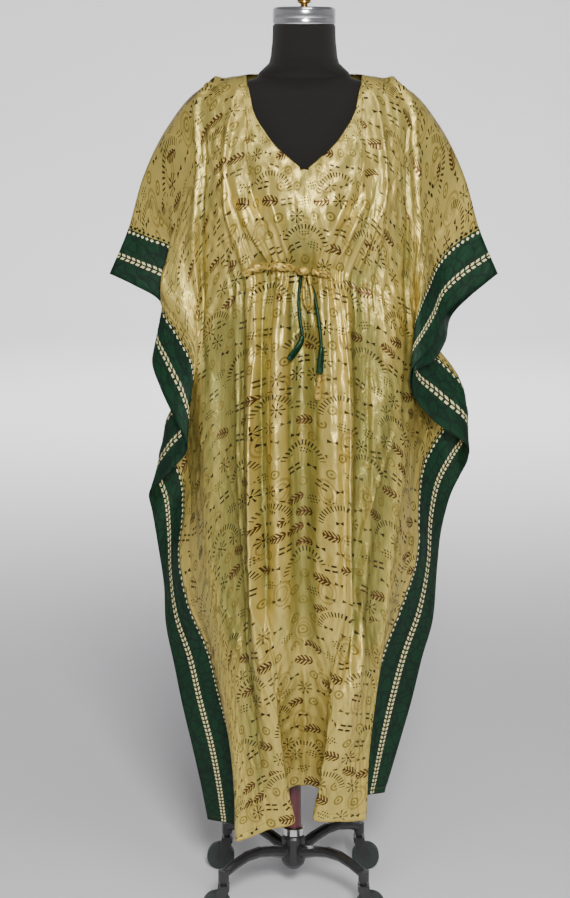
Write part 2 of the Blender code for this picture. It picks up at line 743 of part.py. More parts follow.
def ring_into(mesh, centre, radii, low, high, count, turn=0.0):
    """A disc with a bore, lying across Y. It spans from low to high."""
    outer_radius, inner_radius = radii
    loops = []
    for radius, y in ((outer_radius, low), (outer_radius, high), (inner_radius, high), (inner_radius, low)):
        loops.append([
            mesh.verts.new((
                centre[0] + radius * math.cos(turn + k * 2 * math.pi / count),
                y,
                centre[2] + radius * math.sin(turn + k * 2 * math.pi / count),
            ))
            for k in range(count)
        ])
    for a, b in zip(loops, loops[1:] + loops[:1]):
        for k in range(count):
            m = (k + 1) % count
            mesh.faces.new((a[k], a[m], b[m], b[k]))


def wheel(name, centre):
    """A tyred wheel that stands on one of its flats."""
    mesh = bmesh.new()
    half = WHEEL_WIDTH / 2
    ring_into(mesh, centre, (WHEEL_RADIUS, BORE_RADIUS), centre[1] - half, centre[1] + half,
              WHEEL_FACETS, math.pi / WHEEL_FACETS)
    placed(name, mesh, DARK_RUBBER, 0.6, smooth=False)


def fork(name, pivot, centre):
    """A bridge and two cheeks over the wheel, on a short stem, with the wheel's axle."""
    half = WHEEL_WIDTH / 2 + FORK_GAP
    outline = [
        (pivot[0] - 0.010, CROWN_TOP), (pivot[0] - 0.010, CROWN_BASE),
        (centre[0] - 0.007, centre[2]), (centre[0], centre[2] - 0.007),
        (centre[0] + 0.007, centre[2]), (pivot[0] + 0.010, CROWN_BASE),
        (pivot[0] + 0.010, CROWN_TOP),
    ]
    mesh = bmesh.new()
    box_into(mesh, (pivot[0] - 0.010, pivot[1] - half - CHEEK, CROWN_BASE),
             (pivot[0] + 0.010, pivot[1] + half + CHEEK, CROWN_TOP))
    made = placed(name, mesh, BLACK_PAINT, 0.45, 0.4, smooth=False)
    for side in (-1, 1):
        y = sorted((pivot[1] + side * half, pivot[1] + side * (half + CHEEK)))
        cheek = bmesh.new()
        near = [cheek.verts.new((x, y[0], z)) for x, z in outline]
        far = [cheek.verts.new((x, y[1], z)) for x, z in outline]
        cheek.faces.new(near)
        cheek.faces.new(far[::-1])
        for k in range(len(outline)):
            m = (k + 1) % len(outline)
            cheek.faces.new((near[k], near[m], far[m], far[k]))
        join(made, cheek, "cheek")
    axle = bmesh.new()
    reach = half + CHEEK / 2
    loops = [
        [axle.verts.new((centre[0] + AXLE_RADIUS * math.cos(k * math.pi / 6),
                         y, centre[2] + AXLE_RADIUS * math.sin(k * math.pi / 6))) for k in range(12)]
        for y in (pivot[1] - reach, pivot[1] + reach)
    ]
    axle.faces.new(loops[0])
    axle.faces.new(loops[1][::-1])
    for k in range(12):
        m = (k + 1) % 12
        axle.faces.new((loops[0][k], loops[0][m], loops[1][m], loops[1][k]))
    join(made, axle, "axle")
    join(made, round_bar(pivot, 0.006, CROWN_TOP - 0.002, CROWN_TOP + 0.006), "stem")


def join(made, mesh, label):
    """Adds a closed mesh to a solid."""
    bmesh.ops.recalc_face_normals(mesh, faces=mesh.faces[:])
    data = bpy.data.meshes.new(label)
    mesh.to_mesh(data)
    mesh.free()
    added = bpy.data.objects.new(made.name + "_" + label, data)
    bpy.context.scene.collection.objects.link(added)
    added.hide_render = True
    added.display_type = "WIRE"
    union = made.modifiers.new(label, "BOOLEAN")
    union.operation = "UNION"
    union.solver = "EXACT"
    union.object = added


def stand():
    pole = [(POLE_RADIUS, 0.1254), (POLE_RADIUS, 0.7156)]
    turned("pole", STAND_X, 0, pole, 20, MAROON_PAINT, 0.35)
    ring = [(0.017, 0.109), (0.019, 0.111), (0.019, 0.123), (0.017, 0.125)]
    turned("pole_ring", STAND_X, 0, ring, 20, CHROME, 0.25, 1.0)
    hub = [(0.012, 0.048), (0.019, 0.056), (0.021, 0.062), (0.021, 0.104), (0.019, 0.1086)]
    turned("hub", STAND_X, 0, hub, 24, BLACK_PAINT, 0.4, 0.4)
    for name, ahead, aside in (("front_left", -1, -1), ("front_right", -1, 1),
                               ("rear_left", 1, -1), ("rear_right", 1, 1)):
        direction = np.array((aside, ahead, 0)) / math.sqrt(2)
        axis = np.array((STAND_X, 0, 0))
        route = [
            axis + direction * out + np.array((0, 0, up))
            for out, up in ((0.0222, 0.084), (0.032, 0.0845), (0.055, 0.092), (0.085, 0.098),
                            (0.115, 0.098), (0.145, 0.091), (CASTER_REACH, 0.080))
        ]
        bar = swept("leg_" + name, route, [0.011, 0.011, 0.0105, 0.010, 0.0095, 0.009, 0.008], 10,
                    BLACK_PAINT, 0.4, 0.4)
        pivot = axis + direction * CASTER_REACH
        join(bar, round_bar(pivot, SOCKET_RADIUS, CROWN_TOP + 0.0064, 0.088), "socket")
        centre = np.array((pivot[0] + aside * TRAIL, pivot[1], FLOOR_TO_AXLE))
        fork("fork_" + name, pivot, centre)
        wheel("wheel_" + name, centre)


def clear_scene():
    for thing in list(bpy.data.objects):
        bpy.data.objects.remove(thing, do_unlink=True)


def set_back():
    for thing in bpy.data.objects:
        thing.location.y += SET_BACK


clear_scene()
kaftan()
dress_form()
stand()
set_back()
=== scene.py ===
"""The kaftan on its dress form, as it looks in the photo: pale gold printed satin with green bands.

The cloth's two lengths follow the same tables as the solids, on a finer grid and with the small
folds, gathers and creases added. Across the cloth, a point is found by its distance s from the
middle; along it, by its drop t from the shoulder. The kaftan faces -Y.
"""

import ast
import math

import bmesh
import bpy
import numpy as np
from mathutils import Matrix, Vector
from mathutils.bvhtree import BVHTree


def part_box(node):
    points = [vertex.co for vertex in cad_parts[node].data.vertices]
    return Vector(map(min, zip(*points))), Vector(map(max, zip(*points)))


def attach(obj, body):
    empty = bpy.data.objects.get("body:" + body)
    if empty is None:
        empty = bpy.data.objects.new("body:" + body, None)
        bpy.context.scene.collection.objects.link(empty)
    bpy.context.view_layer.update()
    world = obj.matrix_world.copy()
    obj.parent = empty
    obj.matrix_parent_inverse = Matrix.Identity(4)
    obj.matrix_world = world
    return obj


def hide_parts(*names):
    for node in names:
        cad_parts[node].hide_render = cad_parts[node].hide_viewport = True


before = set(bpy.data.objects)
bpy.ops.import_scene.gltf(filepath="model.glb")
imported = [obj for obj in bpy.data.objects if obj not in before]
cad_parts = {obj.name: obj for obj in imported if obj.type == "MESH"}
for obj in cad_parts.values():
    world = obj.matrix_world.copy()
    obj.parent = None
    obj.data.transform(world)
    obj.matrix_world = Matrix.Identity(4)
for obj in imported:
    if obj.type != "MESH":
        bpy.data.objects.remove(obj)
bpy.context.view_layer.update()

# How far everything is set back, so that its depth lies evenly about the origin
SET_BACK = 0.0101

# The cut of the cloth, in metres
HALF_WIDTH = 0.525
DROP = 1.320
BAND = 0.082
WALL = 0.0015
LAYER_GAP = 0.0006
LAYERS = 2 * WALL + LAYER_GAP
NECK_HALF = 0.0984
NECK_DEPTH = 0.208
BACK_NECK_DEPTH = 0.022
SHOULDER_BEND = 0.050
SHOULDER_ROW = 0.020
RIDGE_FADE = 0.035

# Across the cloth, where the body ends and where the fold of each side lies, in metres
BODY_HALF = 0.260
SIDE_FOLD = 0.360

# Where the two layers of a side close on each other, in metres. Across the cloth they close
# between the first numbers of CLOSING_STARTS and CLOSING_ENDS, and low down the second numbers
# are added. The others are drops: where the armhole closes, and where low down begins
CLOSING_STARTS = (0.300, 0.100)
CLOSING_ENDS = (0.352, 0.080)
ARMHOLE_CLOSES = (0.250, 0.315)
ARMHOLE_DROP = 0.3
LOW_DOWN = (0.56, 0.72)

# Shares of a main fold's length over which it rises and dies away
FOLD_RISES = (-0.16, 0.12)
FOLD_ENDS = (0.88, 1.14)

# Neck edge of the front: distance from the middle, drop of the edge there (mm)
NECK_EDGE = (
    (0, 208),
    (50, 161),
    (83, 109),
    (94, 72),
    (98.4, 0),
)

# Shoulder line: distance along the cloth, out from the middle, height (mm)
SHOULDER = (
    (0, 0, 1452),
    (50, 50, 1452),
    (98, 97, 1450),
    (131, 129, 1446),
    (175, 169, 1428),
    (207, 198, 1410),
    (247, 221, 1379),
    (303, 245, 1331),
    (353, 268, 1285),
    (401, 289, 1243),
    (443, 299, 1190),
    (491, 318, 1155),
    (525, 332, 1113),
)

# Across the cloth, where the body threads of the next two tables lie (mm)
BODY_THREADS = (0, 50, 100, 190, 260)

# Front body. A row per height: how far out the threads at 50, 100, 190 and 260 lie,
# then how far forward those at 0, 50, 100, 190 and 260 lie (mm)
FRONT_BODY = (
    (1450, 50, 98, 172, 196, 46, 48, 52, 44, 30),
    (1400, 50, 98, 165, 186, 66, 70, 72, 60, 42),
    (1330, 50, 98, 158, 180, 106, 106, 100, 82, 60),
    (1280, 48, 96, 152, 178, 126, 124, 116, 98, 74),
    (1220, 42, 88, 140, 176, 145, 142, 134, 112, 84),
    (1165, 34, 72, 128, 172, 137, 134, 126, 106, 80),
    (1125, 26, 58, 120, 168, 116, 114, 110, 96, 74),
    (1080, 30, 62, 121, 170, 127, 125, 119, 102, 80),
    (1000, 34, 68, 124, 172, 144, 142, 134, 114, 88),
    (900, 36, 70, 126, 168, 153, 151, 142, 122, 96),
    (780, 36, 68, 124, 164, 158, 156, 148, 128, 100),
    (640, 34, 66, 116, 150, 158, 157, 150, 130, 104),
    (520, 32, 64, 108, 134, 154, 154, 152, 132, 108),
    (400, 40, 46, 92, 118, 110, 132, 150, 140, 118),
    (260, 44, 26, 74, 98, 62, 90, 142, 141, 126),
    (140, 42, 8, 62, 92, 40, 74, 132, 138, 130),
)

# Back body, the same columns, with how far back the threads lie (mm)
BACK_BODY = (
    (1450, 50, 98, 172, 196, 52, 54, 56, 46, 30),
    (1400, 50, 98, 165, 186, 78, 80, 80, 64, 42),
    (1330, 50, 98, 160, 182, 104, 104, 100, 86, 62),
    (1220, 46, 90, 150, 178, 122, 121, 115, 100, 80),
    (1125, 38, 78, 136, 172, 104, 102, 98, 88, 72),
    (1000, 42, 82, 140, 174, 124, 122, 116, 102, 84),
    (900, 44, 84, 142, 170, 132, 130, 123, 110, 92),
    (780, 44, 84, 138, 164, 138, 136, 129, 114, 94),
    (640, 42, 80, 128, 148, 138, 136, 129, 114, 92),
    (400, 38, 72, 110, 126, 134, 132, 124, 110, 88),
    (140, 36, 68, 98, 114, 130, 128, 120, 106, 84),
)

# Across the cloth, where the side threads of the next two tables lie (mm)
SIDE_THREADS = (360, 443, 525)

# Left side. A row per drop, then for the fold, the inner edge of the band and the selvedge:
# how far out, how far back, how high (mm)
LEFT_SIDE = (
    (0, 273, 0, 1277, 299, 0, 1190, 332, 0, 1113),
    (50, 247, -22, 1240, 263, -18, 1177, 287, -18, 1094),
    (100, 224, -48, 1198, 222, -32, 1160, 245, -28, 1069),
    (155, 227, -60, 1145, 215, -32, 1112, 238, -16, 1022),
    (210, 239, -66, 1096, 240, -50, 1063, 259, -32, 972),
    (265, 208, -80, 1058, 214, -66, 1018, 245, -52, 926),
    (320, 182, -84, 1014, 188, -78, 968, 219, -70, 872),
    (375, 180, -74, 966, 192, -66, 916, 198, -66, 823),
    (430, 194, -50, 917, 230, -30, 868, 226, -34, 779),
    (480, 203, -24, 865, 235, 0, 818, 264, 0, 734),
    (530, 196, -14, 809, 214, 20, 758, 264, 30, 690),
    (600, 186, -30, 739, 210, 12, 694, 258, 46, 637),
    (680, 184, -46, 658, 217, -4, 622, 247, 44, 558),
    (760, 178, -56, 571, 203, -10, 542, 244, 36, 491),
    (860, 159, -70, 477, 168, -18, 456, 229, 24, 417),
    (960, 142, -86, 390, 148, -28, 377, 215, 12, 349),
    (1080, 127, -102, 301, 125, -42, 290, 197, 2, 273),
    (1200, 120, -114, 221, 114, -50, 214, 181, -4, 200),
    (1320, 119, -122, 142, 109, -54, 142, 170, -8, 140),
)

# Right side, the same columns (mm)
RIGHT_SIDE = (
    (0, 273, 0, 1277, 299, 0, 1190, 332, 0, 1113),
    (50, 236, -22, 1240, 258, -20, 1166, 285, -20, 1082),
    (100, 209, -46, 1205, 227, -40, 1135, 245, -40, 1052),
    (155, 201, -70, 1162, 209, -74, 1101, 225, -74, 1014),
    (210, 196, -88, 1121, 194, -101, 1070, 200, -104, 984),
    (265, 189, -84, 1084, 184, -98, 1034, 178, -108, 958),
    (320, 190, -61, 1047, 192, -70, 996, 186, -80, 912),
    (375, 202, -48, 1014, 229, -36, 970, 226, -42, 862),
    (430, 224, -22, 974, 270, -10, 920, 279, -12, 820),
    (480, 230, 2, 926, 268, 16, 873, 284, 18, 788),
    (530, 214, 6, 880, 242, 26, 838, 277, 42, 758),
    (600, 192, -32, 814, 210, 6, 783, 260, 50, 718),
    (680, 180, -60, 735, 200, -14, 716, 244, 46, 654),
    (760, 169, -74, 648, 198, -30, 632, 237, 38, 588),
    (860, 152, -86, 560, 174, -40, 550, 230, 26, 500),
    (960, 137, -96, 474, 141, -48, 462, 211, 14, 433),
    (1080, 123, -106, 381, 116, -54, 368, 191, 2, 352),
    (1200, 113, -114, 290, 103, -57, 280, 168, -8, 272),
    (1320, 109, -120, 184, 97, -58, 196, 145, -14, 192),
)

# How far the back layer parts from the front one down each open armhole. A row per drop, then
# for the left and for the right: back at the fold, back at the selvedge, down, out (mm)
PARTING = (
    (0, 2, 2, 0, 0, 2, 2, 0, 0),
    (50, 51, 49, 2, 0, 44, 42, 8, 4),
    (100, 100, 90, 4, 0, 84, 70, 16, 10),
    (155, 108, 86, 4, 0, 80, 44, 14, 16),
    (210, 99, 82, 2, 0, 44, 24, 12, 16),
    (265, 60, 46, 0, 0, 12, 6, 0, 8),
    (320, 0, 0, 0, 0, 0, 0, 0, 0),
)

# Height of the front hem across the cloth: distance from the middle, height (mm)
FRONT_HEM = (
    (-260, 150),
    (-190, 166),
    (-100, 186),
    (0, 222),
    (100, 190),
    (190, 182),
    (260, 180),
)
BACK_HEM = (
    (-260, 152),
    (0, 165),
    (260, 185),
)

# Main folds of the front: s and t of the upper end, s and t of the lower end,
# half width, height (mm). A negative height is a trough.
FRONT_FOLDS = (
    (-128, 190, -96, 300, 20, 7),
    (-76, 190, -52, 300, 18, 7),
    (92, 180, 62, 295, 20, 7),
    (-140, 360, -130, 1040, 18, 13),
    (-64, 360, -62, 960, 22, 12),
    (-104, 370, -98, 940, 14, -7),
    (-14, 350, 0, 1020, 26, -16),
    (58, 360, 80, 960, 22, 12),
    (108, 390, 118, 1040, 15, 12),
    (152, 400, 150, 1040, 20, -9),
    (215, 420, 165, 1150, 26, 9),
    (-222, 420, -196, 1200, 28, -9),
)

# Main folds of the back, the same columns (mm)
BACK_FOLDS = (
    (-110, 140, -70, 300, 24, 7),
    (20, 120, 10, 300, 26, 6),
    (120, 150, 84, 300, 24, 7),
    (-180, 380, -170, 1260, 34, 12),
    (-92, 370, -84, 1300, 30, -9),
    (-30, 370, -34, 1240, 30, 10),
    (50, 370, 46, 1300, 30, -9),
    (118, 370, 112, 1280, 30, 11),
    (196, 400, 190, 1200, 30, -8),
)

# The drawstring, seen on the front. A row per point: out to the right, height (mm)
STRING_LEFT = ((-101, 1122), (-92, 1129), (-76, 1135), (-56, 1138), (-36, 1137), (-15, 1133))
STRING_RIGHT = ((11, 1130), (22, 1127), (33, 1125), (43, 1121))
TIE_LEFT = ((-5, 1121.8), (-8, 1100), (-9, 1078), (-8, 1056), (-5, 1036), (-3, 1024))
TIE_RIGHT = ((4, 1121.4), (6, 1114), (14, 1099), (19, 1078), (23, 1054), (26, 1030), (28, 1008))
BOW_LOOP = (
    (1, 1121.8), (-1, 1104), (-1, 1088), (2, 1073), (7, 1066),
    (12, 1073), (13, 1088), (10, 1104), (7, 1121.4),
)
END_LEFT = ((-3, 1022.9), (-5, 1014), (-11, 1003), (-19, 993), (-26, 985))
END_RIGHT = ((28, 1007.3), (27.5, 991), (26, 976), (26, 962))
END_TIP = ((25.9, 961.3), (25, 948), (23, 934), (22, 919))
TIE_RADIUS = 0.0030
STRING_HALF_WIDTH = 0.0080
STRING_HALF_DEPTH = 0.0042
ON_CLOTH = 0.0005
STRING_STEP = 0.012

# The dress form. A row per height: half width, depth in front, depth behind (mm)
FORM_SECTIONS = (
    (716, 150, 96, 108),
    (740, 156, 104, 118),
    (830, 160, 116, 122),
    (920, 148, 110, 106),
    (1030, 126, 94, 90),
    (1120, 134, 98, 90),
    (1200, 150, 118, 96),
    (1250, 156, 118, 100),
    (1320, 164, 94, 90),
    (1370, 166, 72, 74),
    (1400, 166, 54, 58),
    (1420, 157, 38, 42),
    (1433, 124, 27, 33),
    (1442, 84, 29, 38),
    (1452, 76, 40, 45),
    (1466, 62, 49, 52),
    (1495, 55, 52, 54),
    (1530, 53, 51, 52),
)
FORM_ROUNDNESS = 2.25

# Small folds of the front that follow a bent line down the cloth: half width and height (mm),
# then the line's s and t at each bend (mm). A negative height is a trough.
FRONT_LINES = (
    (8, -15, ((-104, 0), (-140, 18), (-176, 38), (-216, 120), (-248, 182), (-266, 274), (-268, 480))),
    (10, 9, ((-150, 10), (-202, 40), (-250, 100), (-272, 190), (-292, 292), (-296, 420))),
    (8, 7, ((-118, 60), (-138, 130), (-160, 215), (-172, 300))),
    (8, -15, ((104, 0), (140, 22), (180, 48), (242, 120), (258, 216), (274, 349), (272, 560))),
    (10, 9, ((150, 14), (210, 46), (288, 88), (318, 150), (322, 260))),
    (8, 7, ((120, 60), (140, 130), (165, 215), (182, 300))),
    (7, 7, ((-164, 240), (-160, 300), (-150, 362))),
    (6, -7, ((-142, 250), (-134, 310), (-124, 365))),
    (7, 7, ((-120, 262), (-108, 310), (-94, 362))),
    (6, -7, ((-92, 240), (-80, 300), (-68, 362))),
    (7, 7, ((-66, 230), (-54, 290), (-40, 362))),
    (6, -5, ((-20, 270), (-16, 320), (-12, 366))),
    (7, 7, ((76, 250), (58, 300), (40, 362))),
    (6, -7, ((94, 250), (76, 310), (62, 364))),
    (7, 7, ((114, 246), (98, 300), (82, 364))),
    (6, -7, ((136, 240), (126, 300), (112, 368))),
    (7, 5, ((164, 240), (156, 300), (142, 372))),
    (4, -7, ((-118, 396), (-112, 480), (-108, 640), (-110, 760))),
    (5, 5, ((-128, 400), (-118, 495), (-130, 650), (-138, 850), (-126, 950))),
    (4, -7, ((-84, 400), (-82, 520), (-84, 700))),
    (5, -7, ((-42, 398), (-36, 500), (-34, 680), (-24, 860))),
    (4, -5, ((28, 398), (30, 520), (28, 700))),
    (4, -5, ((74, 398), (66, 480), (66, 640))),
    (3, 7, ((98, 470), (104, 617), (108, 787), (120, 1008))),
    (3, 5, ((246, 590), (238, 619), (184, 759), (136, 897), (118, 985))),
    (3, 5, ((-232, 640), (-196, 760), (-142, 900), (-104, 985))),
    (5, -7, ((178, 420), (172, 560), (176, 700))),
    (6, 7, ((-190, 420), (-184, 560), (-188, 800), (-182, 1000))),
    (5, -7, ((-166, 400), (-160, 560), (-164, 720))),
    (3, 5, ((-100, 990), (-70, 1090), (-46, 1190), (-40, 1300))),
    (3, 5, ((104, 992), (84, 1090), (60, 1190), (52, 1300))),
    (3, 3, ((-100, 985), (-138, 1040), (-160, 1110))),
    (3, 3, ((106, 988), (142, 1040), (160, 1110))),
    (8, 7, ((0, 1020), (4, 1150), (0, 1320))),
)

# Pressed edges of the skirt: which way the cloth falls beyond the edge, how far it falls and how
# far it lies low (mm), then the edge's bends
PRESSED_EDGES = (
    (-1, 24, 170, ((-120, 420), (-118, 495), (-130, 650), (-138, 850), (-126, 980))),
    (1, 24, 170, ((98, 450), (104, 617), (108, 787), (120, 1020))),
    (1, 9, 60, ((-36, 420), (-34, 620), (-26, 860))),
    (-1, 9, 60, ((32, 460), (36, 620), (32, 860))),
)

# Small folds of the back, the same columns
BACK_LINES = (
    (9, -8, ((-110, 0), (-160, 40), (-214, 120), (-248, 200), (-262, 320))),
    (9, -8, ((110, 0), (160, 40), (214, 120), (248, 200), (262, 320))),
    (8, 7, ((-84, 60), (-60, 200), (-50, 340))),
    (8, 7, ((84, 70), (66, 200), (58, 340))),
    (8, -7, ((0, 90), (4, 220), (2, 350))),
    (5, -7, ((-138, 400), (-134, 640), (-140, 900))),
    (5, -7, ((-60, 395), (-58, 600), (-64, 1000))),
    (4, 7, ((-14, 395), (-8, 640), (-14, 1100))),
    (5, -7, ((84, 400), (80, 700), (86, 1000))),
    (4, 7, ((150, 400), (152, 700), (146, 1000))),
    (3, 5, ((-226, 640), (-170, 820), (-110, 985))),
    (3, 5, ((226, 640), (170, 820), (110, 985))),
)

# Folds of the side, which the front and the back layer share: the same columns
SIDE_LINES = (
    (7, 4, ((-340, 60), (-352, 150), (-360, 240))),
    (7, -4, ((-386, 40), (-392, 130), (-400, 220))),
    (7, 4, ((-420, 120), (-418, 200), (-424, 300))),
    (7, 4, ((350, 60), (360, 150), (366, 240))),
    (7, -4, ((390, 40), (400, 130), (404, 230))),
    (6, 3, ((-340, 420), (-344, 560), (-338, 700))),
    (6, -3, ((-400, 420), (-404, 640), (-396, 820))),
    (6, 3, ((-430, 620), (-436, 800), (-430, 1000))),
    (6, 3, ((344, 420), (350, 560), (342, 700))),
    (6, -3, ((396, 440), (404, 640), (398, 820))),
    (6, 3, ((428, 620), (436, 800), (430, 1000))),
    (5, -2, ((-474, 300), (-480, 700), (-476, 1200))),
    (5, -2, ((474, 300), (482, 700), (474, 1200))),
)

# Creases left by folding the kaftan away: drop, width of the crease, depth (mm)
PACKING_CREASES = (
    (430, 3.0, -0.9),
    (722, 3.5, -1.2),
    (752, 3.0, 0.8),
    (962, 3.5, -1.2),
    (990, 3.0, 0.8),
    (1180, 3.0, -0.8),
)


def millimetres(table):
    return np.array(table, dtype=float) * 0.001


def smooth_through(knots, values, at):
    """A smooth curve through the values at the knots, read at the places asked for."""
    knots = np.asarray(knots, dtype=float)
    values = np.asarray(values, dtype=float)
    at = np.asarray(at, dtype=float)
    slopes = np.gradient(values, knots, axis=0)
    first = np.clip(np.searchsorted(knots, at, side="right") - 1, 0, len(knots) - 2)
    step = knots[first + 1] - knots[first]
    u = np.clip((at - knots[first]) / step, 0.0, 1.0)
    extra = (1,) * (values.ndim - 1)
    u = u.reshape(u.shape + extra)
    step = step.reshape(step.shape + extra)
    return (
        (2 * u**3 - 3 * u**2 + 1) * values[first]
        + (u**3 - 2 * u**2 + u) * step * slopes[first]
        + (3 * u**2 - 2 * u**3) * values[first + 1]
        + (u**3 - u**2) * step * slopes[first + 1]
    )


def column(table, index, at, rising=True):
    """One column of a table, read straight between its rows."""
    rows = millimetres(table)
    rows = rows if rising else rows[::-1]
    return np.interp(at, rows[:, 0], rows[:, index])


def ease(low, high, value):
    u = np.clip((value - low) / (high - low), 0.0, 1.0)
    return u * u * (3 - 2 * u)


def neck_drop(s, deepest):
    """How far below the shoulder the cloth starts at a distance s from the middle."""
    share = column(NECK_EDGE, 1, np.abs(s)) / NECK_DEPTH
    return np.where(np.abs(s) < NECK_HALF, share * deepest, 0.0)


def body_point(s, t, table, hem, facing):
    """A point of a body thread. It bends over the shoulder and then hangs to its hem."""
    start = column(SHOULDER, 2, abs(s))
    fall = math.hypot(t, SHOULDER_BEND) - SHOULDER_BEND
    whole = math.hypot(DROP, SHOULDER_BEND) - SHOULDER_BEND
    height = start + (column(hem, 1, s) - start) * fall / whole
    thread = millimetres(BODY_THREADS).tolist().index(abs(s))
    depth = column(table, 5 + thread, height, rising=False)
    out = 0.0 if thread == 0 else column(table, thread, height, rising=False)
    at_shoulder = math.exp(-((t / SHOULDER_BEND) ** 2))
    out += (column(SHOULDER, 1, abs(s)) - out) * at_shoulder
    at_ridge = min(1.0, (abs(s) / NECK_HALF) ** 2) if facing > 0 else 1.0
    depth *= 1 - at_ridge * math.exp(-t / RIDGE_FADE)
    return (math.copysign(out, s), facing * depth, height)


def side_points(table, drops, sign):
    """The three side threads of one side at each drop."""
    rows = millimetres(table)
    read = smooth_through(rows[:, 0], rows[:, 1:], drops).reshape(len(drops), 3, 3)
    return read * (sign, 1.0, 1.0)


def front_net():
    """The front's control points: a row per drop of the side tables, a column per thread."""
    drops = millimetres([row[0] for row in LEFT_SIDE])
    drops = np.sort(np.append(drops, SHOULDER_ROW))
    inner = millimetres(BODY_THREADS)
    outer = millimetres(SIDE_THREADS)
    across = np.concatenate([-outer[::-1], -inner[:0:-1], inner, outer])
    net = np.zeros((len(drops), len(across), 3))
    net[:, :3] = side_points(LEFT_SIDE, drops, -1)[:, ::-1]
    net[:, -3:] = side_points(RIGHT_SIDE, drops, 1)
    for i, drop in enumerate(drops):
        net[i, 3:-3] = [body_point(s, drop, FRONT_BODY, FRONT_HEM, -1) for s in across[3:-3]]
    return drops, across, net


def on_net(net, s, t):
    """Points of the smooth surface through a net of control points."""
    drops, across, points = net
    s, t = np.broadcast_arrays(np.asarray(s, float), np.asarray(t, float))
    flat_s, flat_t = s.ravel(), t.ravel()
    lines = smooth_through(drops, points, flat_t)
    slopes = np.gradient(lines, across, axis=1)
    first = np.clip(np.searchsorted(across, flat_s, side="right") - 1, 0, len(across) - 2)
    step = (across[first + 1] - across[first])[:, None]
    u = ((flat_s - across[first])[:, None]) / step
    row = np.arange(len(flat_s))
    found = (
        (2 * u**3 - 3 * u**2 + 1) * lines[row, first]
        + (u**3 - 2 * u**2 + u) * step * slopes[row, first]
        + (3 * u**2 - 2 * u**3) * lines[row, first + 1]
        + (u**3 - u**2) * step * slopes[row, first + 1]
    )
    return found.reshape(s.shape + (3,))


def facing_of(surface, s, t, step=0.004):
    """The direction square to a surface, out of the front."""
    along_s = surface(s + step, t) - surface(s - step, t)
    along_t = surface(s, t + step) - surface(s, t - step)
    square = np.cross(along_t, along_s)
    return square / np.maximum(np.linalg.norm(square, axis=-1, keepdims=True), 1e-9)


def raised_by(folds, s, t):
    """How far the folds of a table raise the cloth."""
    raised = np.zeros(np.broadcast(s, t).shape)
    for s0, t0, s1, t1, half_width, height in millimetres(folds):
        along = (t - t0) / (t1 - t0)
        middle = s0 + (s1 - s0) * np.clip(along, 0, 1)
        ends = ease(*FOLD_RISES, along) * (1 - ease(*FOLD_ENDS, along))
        raised += height * np.exp(-(((s - middle) / half_width) ** 2)) * ends
    return raised


FRONT_NET = front_net()


def smooth_front(s, t):
    """The front's outer face without its folds."""
    return on_net(FRONT_NET, s, t)


def back_net():
    """The back's control points. Below the armholes its sides follow the front's."""
    drops, across, _ = FRONT_NET
    net = np.zeros((len(drops), len(across), 3))
    for i, drop in enumerate(drops):
        for j, s in enumerate(across):
            if abs(s) <= BODY_HALF:
                net[i, j] = body_point(s, drop, BACK_BODY, BACK_HEM, 1)
                continue
            here = np.array([s]), np.array([drop])
            at_front = smooth_front(*here)[0]
            if drop > ARMHOLE_DROP:
                net[i, j] = at_front - facing_of(smooth_front, *here)[0] * LAYERS
                continue
            at_fold, at_edge, down, out = [
                column(PARTING, k + (1 if s < 0 else 5), drop) for k in range(4)
            ]
            outward = (abs(s) - SIDE_FOLD) / (HALF_WIDTH - SIDE_FOLD)
            apart = at_fold + (at_edge - at_fold) * outward
            net[i, j] = at_front + (math.copysign(out, s), apart, -down)
    at_folds = [k for k, s in enumerate(across) if abs(abs(s) - SIDE_FOLD) < 1e-6]
    for k in at_folds:
        inward = 1 if across[k] < 0 else -1
        between = 0.45 * net[:, k + inward] + 0.55 * net[:, k - inward]
        net[:, k] += (between - net[:, k]) * ease(*LOW_DOWN, drops)[:, None]
    return drops, across, net


BACK_NET = back_net()


def smooth_back(s, t):
    """The outer face of the back, which closes on the front's inner face at the sides."""
    free = on_net(BACK_NET, s, t)
    lying = smooth_front(s, t) - facing_of(smooth_front, s, t) * LAYERS
    lower = ease(*LOW_DOWN, t)
    starts = CLOSING_STARTS[0] + CLOSING_STARTS[1] * lower
    ends = CLOSING_ENDS[0] + CLOSING_ENDS[1] * lower
    joined = ease(starts, ends, np.abs(s)) * ease(*ARMHOLE_CLOSES, t)
    return free + (lying - free) * joined[..., None]


def superellipse(half_width, front_depth, back_depth, segments, power):
    """A closed section, rounder or squarer by its power."""
    turn = np.arange(segments) * (2 * math.pi / segments)
    across = np.sign(np.cos(turn)) * np.abs(np.cos(turn)) ** (2 / power)
    along = np.sign(np.sin(turn)) * np.abs(np.sin(turn)) ** (2 / power)
    return half_width * across, along * np.where(along < 0, front_depth, back_depth)


def laid_route(table, foremost, half_depth, reach, ahead=0.0):
    """The points of a string that lies on the panel, standing off by half its depth."""
    points = millimetres(table)
    along = np.append(0.0, np.cumsum(np.linalg.norm(np.diff(points, axis=0), axis=1)))
    count = round(along[-1] / STRING_STEP) + 1
    places = smooth_through(along, points, np.linspace(0, along[-1], count))
    return [(x, foremost(x, z, reach) - half_depth - ON_CLOTH - ahead, z) for x, z in places]


def linear(hex_colour):
    """A hex colour as linear light."""
    made = []
    for k in (1, 3, 5):
        share = int(hex_colour[k : k + 2], 16) / 255
        made.append(share / 12.92 if share <= 0.04045 else ((share + 0.055) / 1.055) ** 2.4)
    return (*made, 1.0)


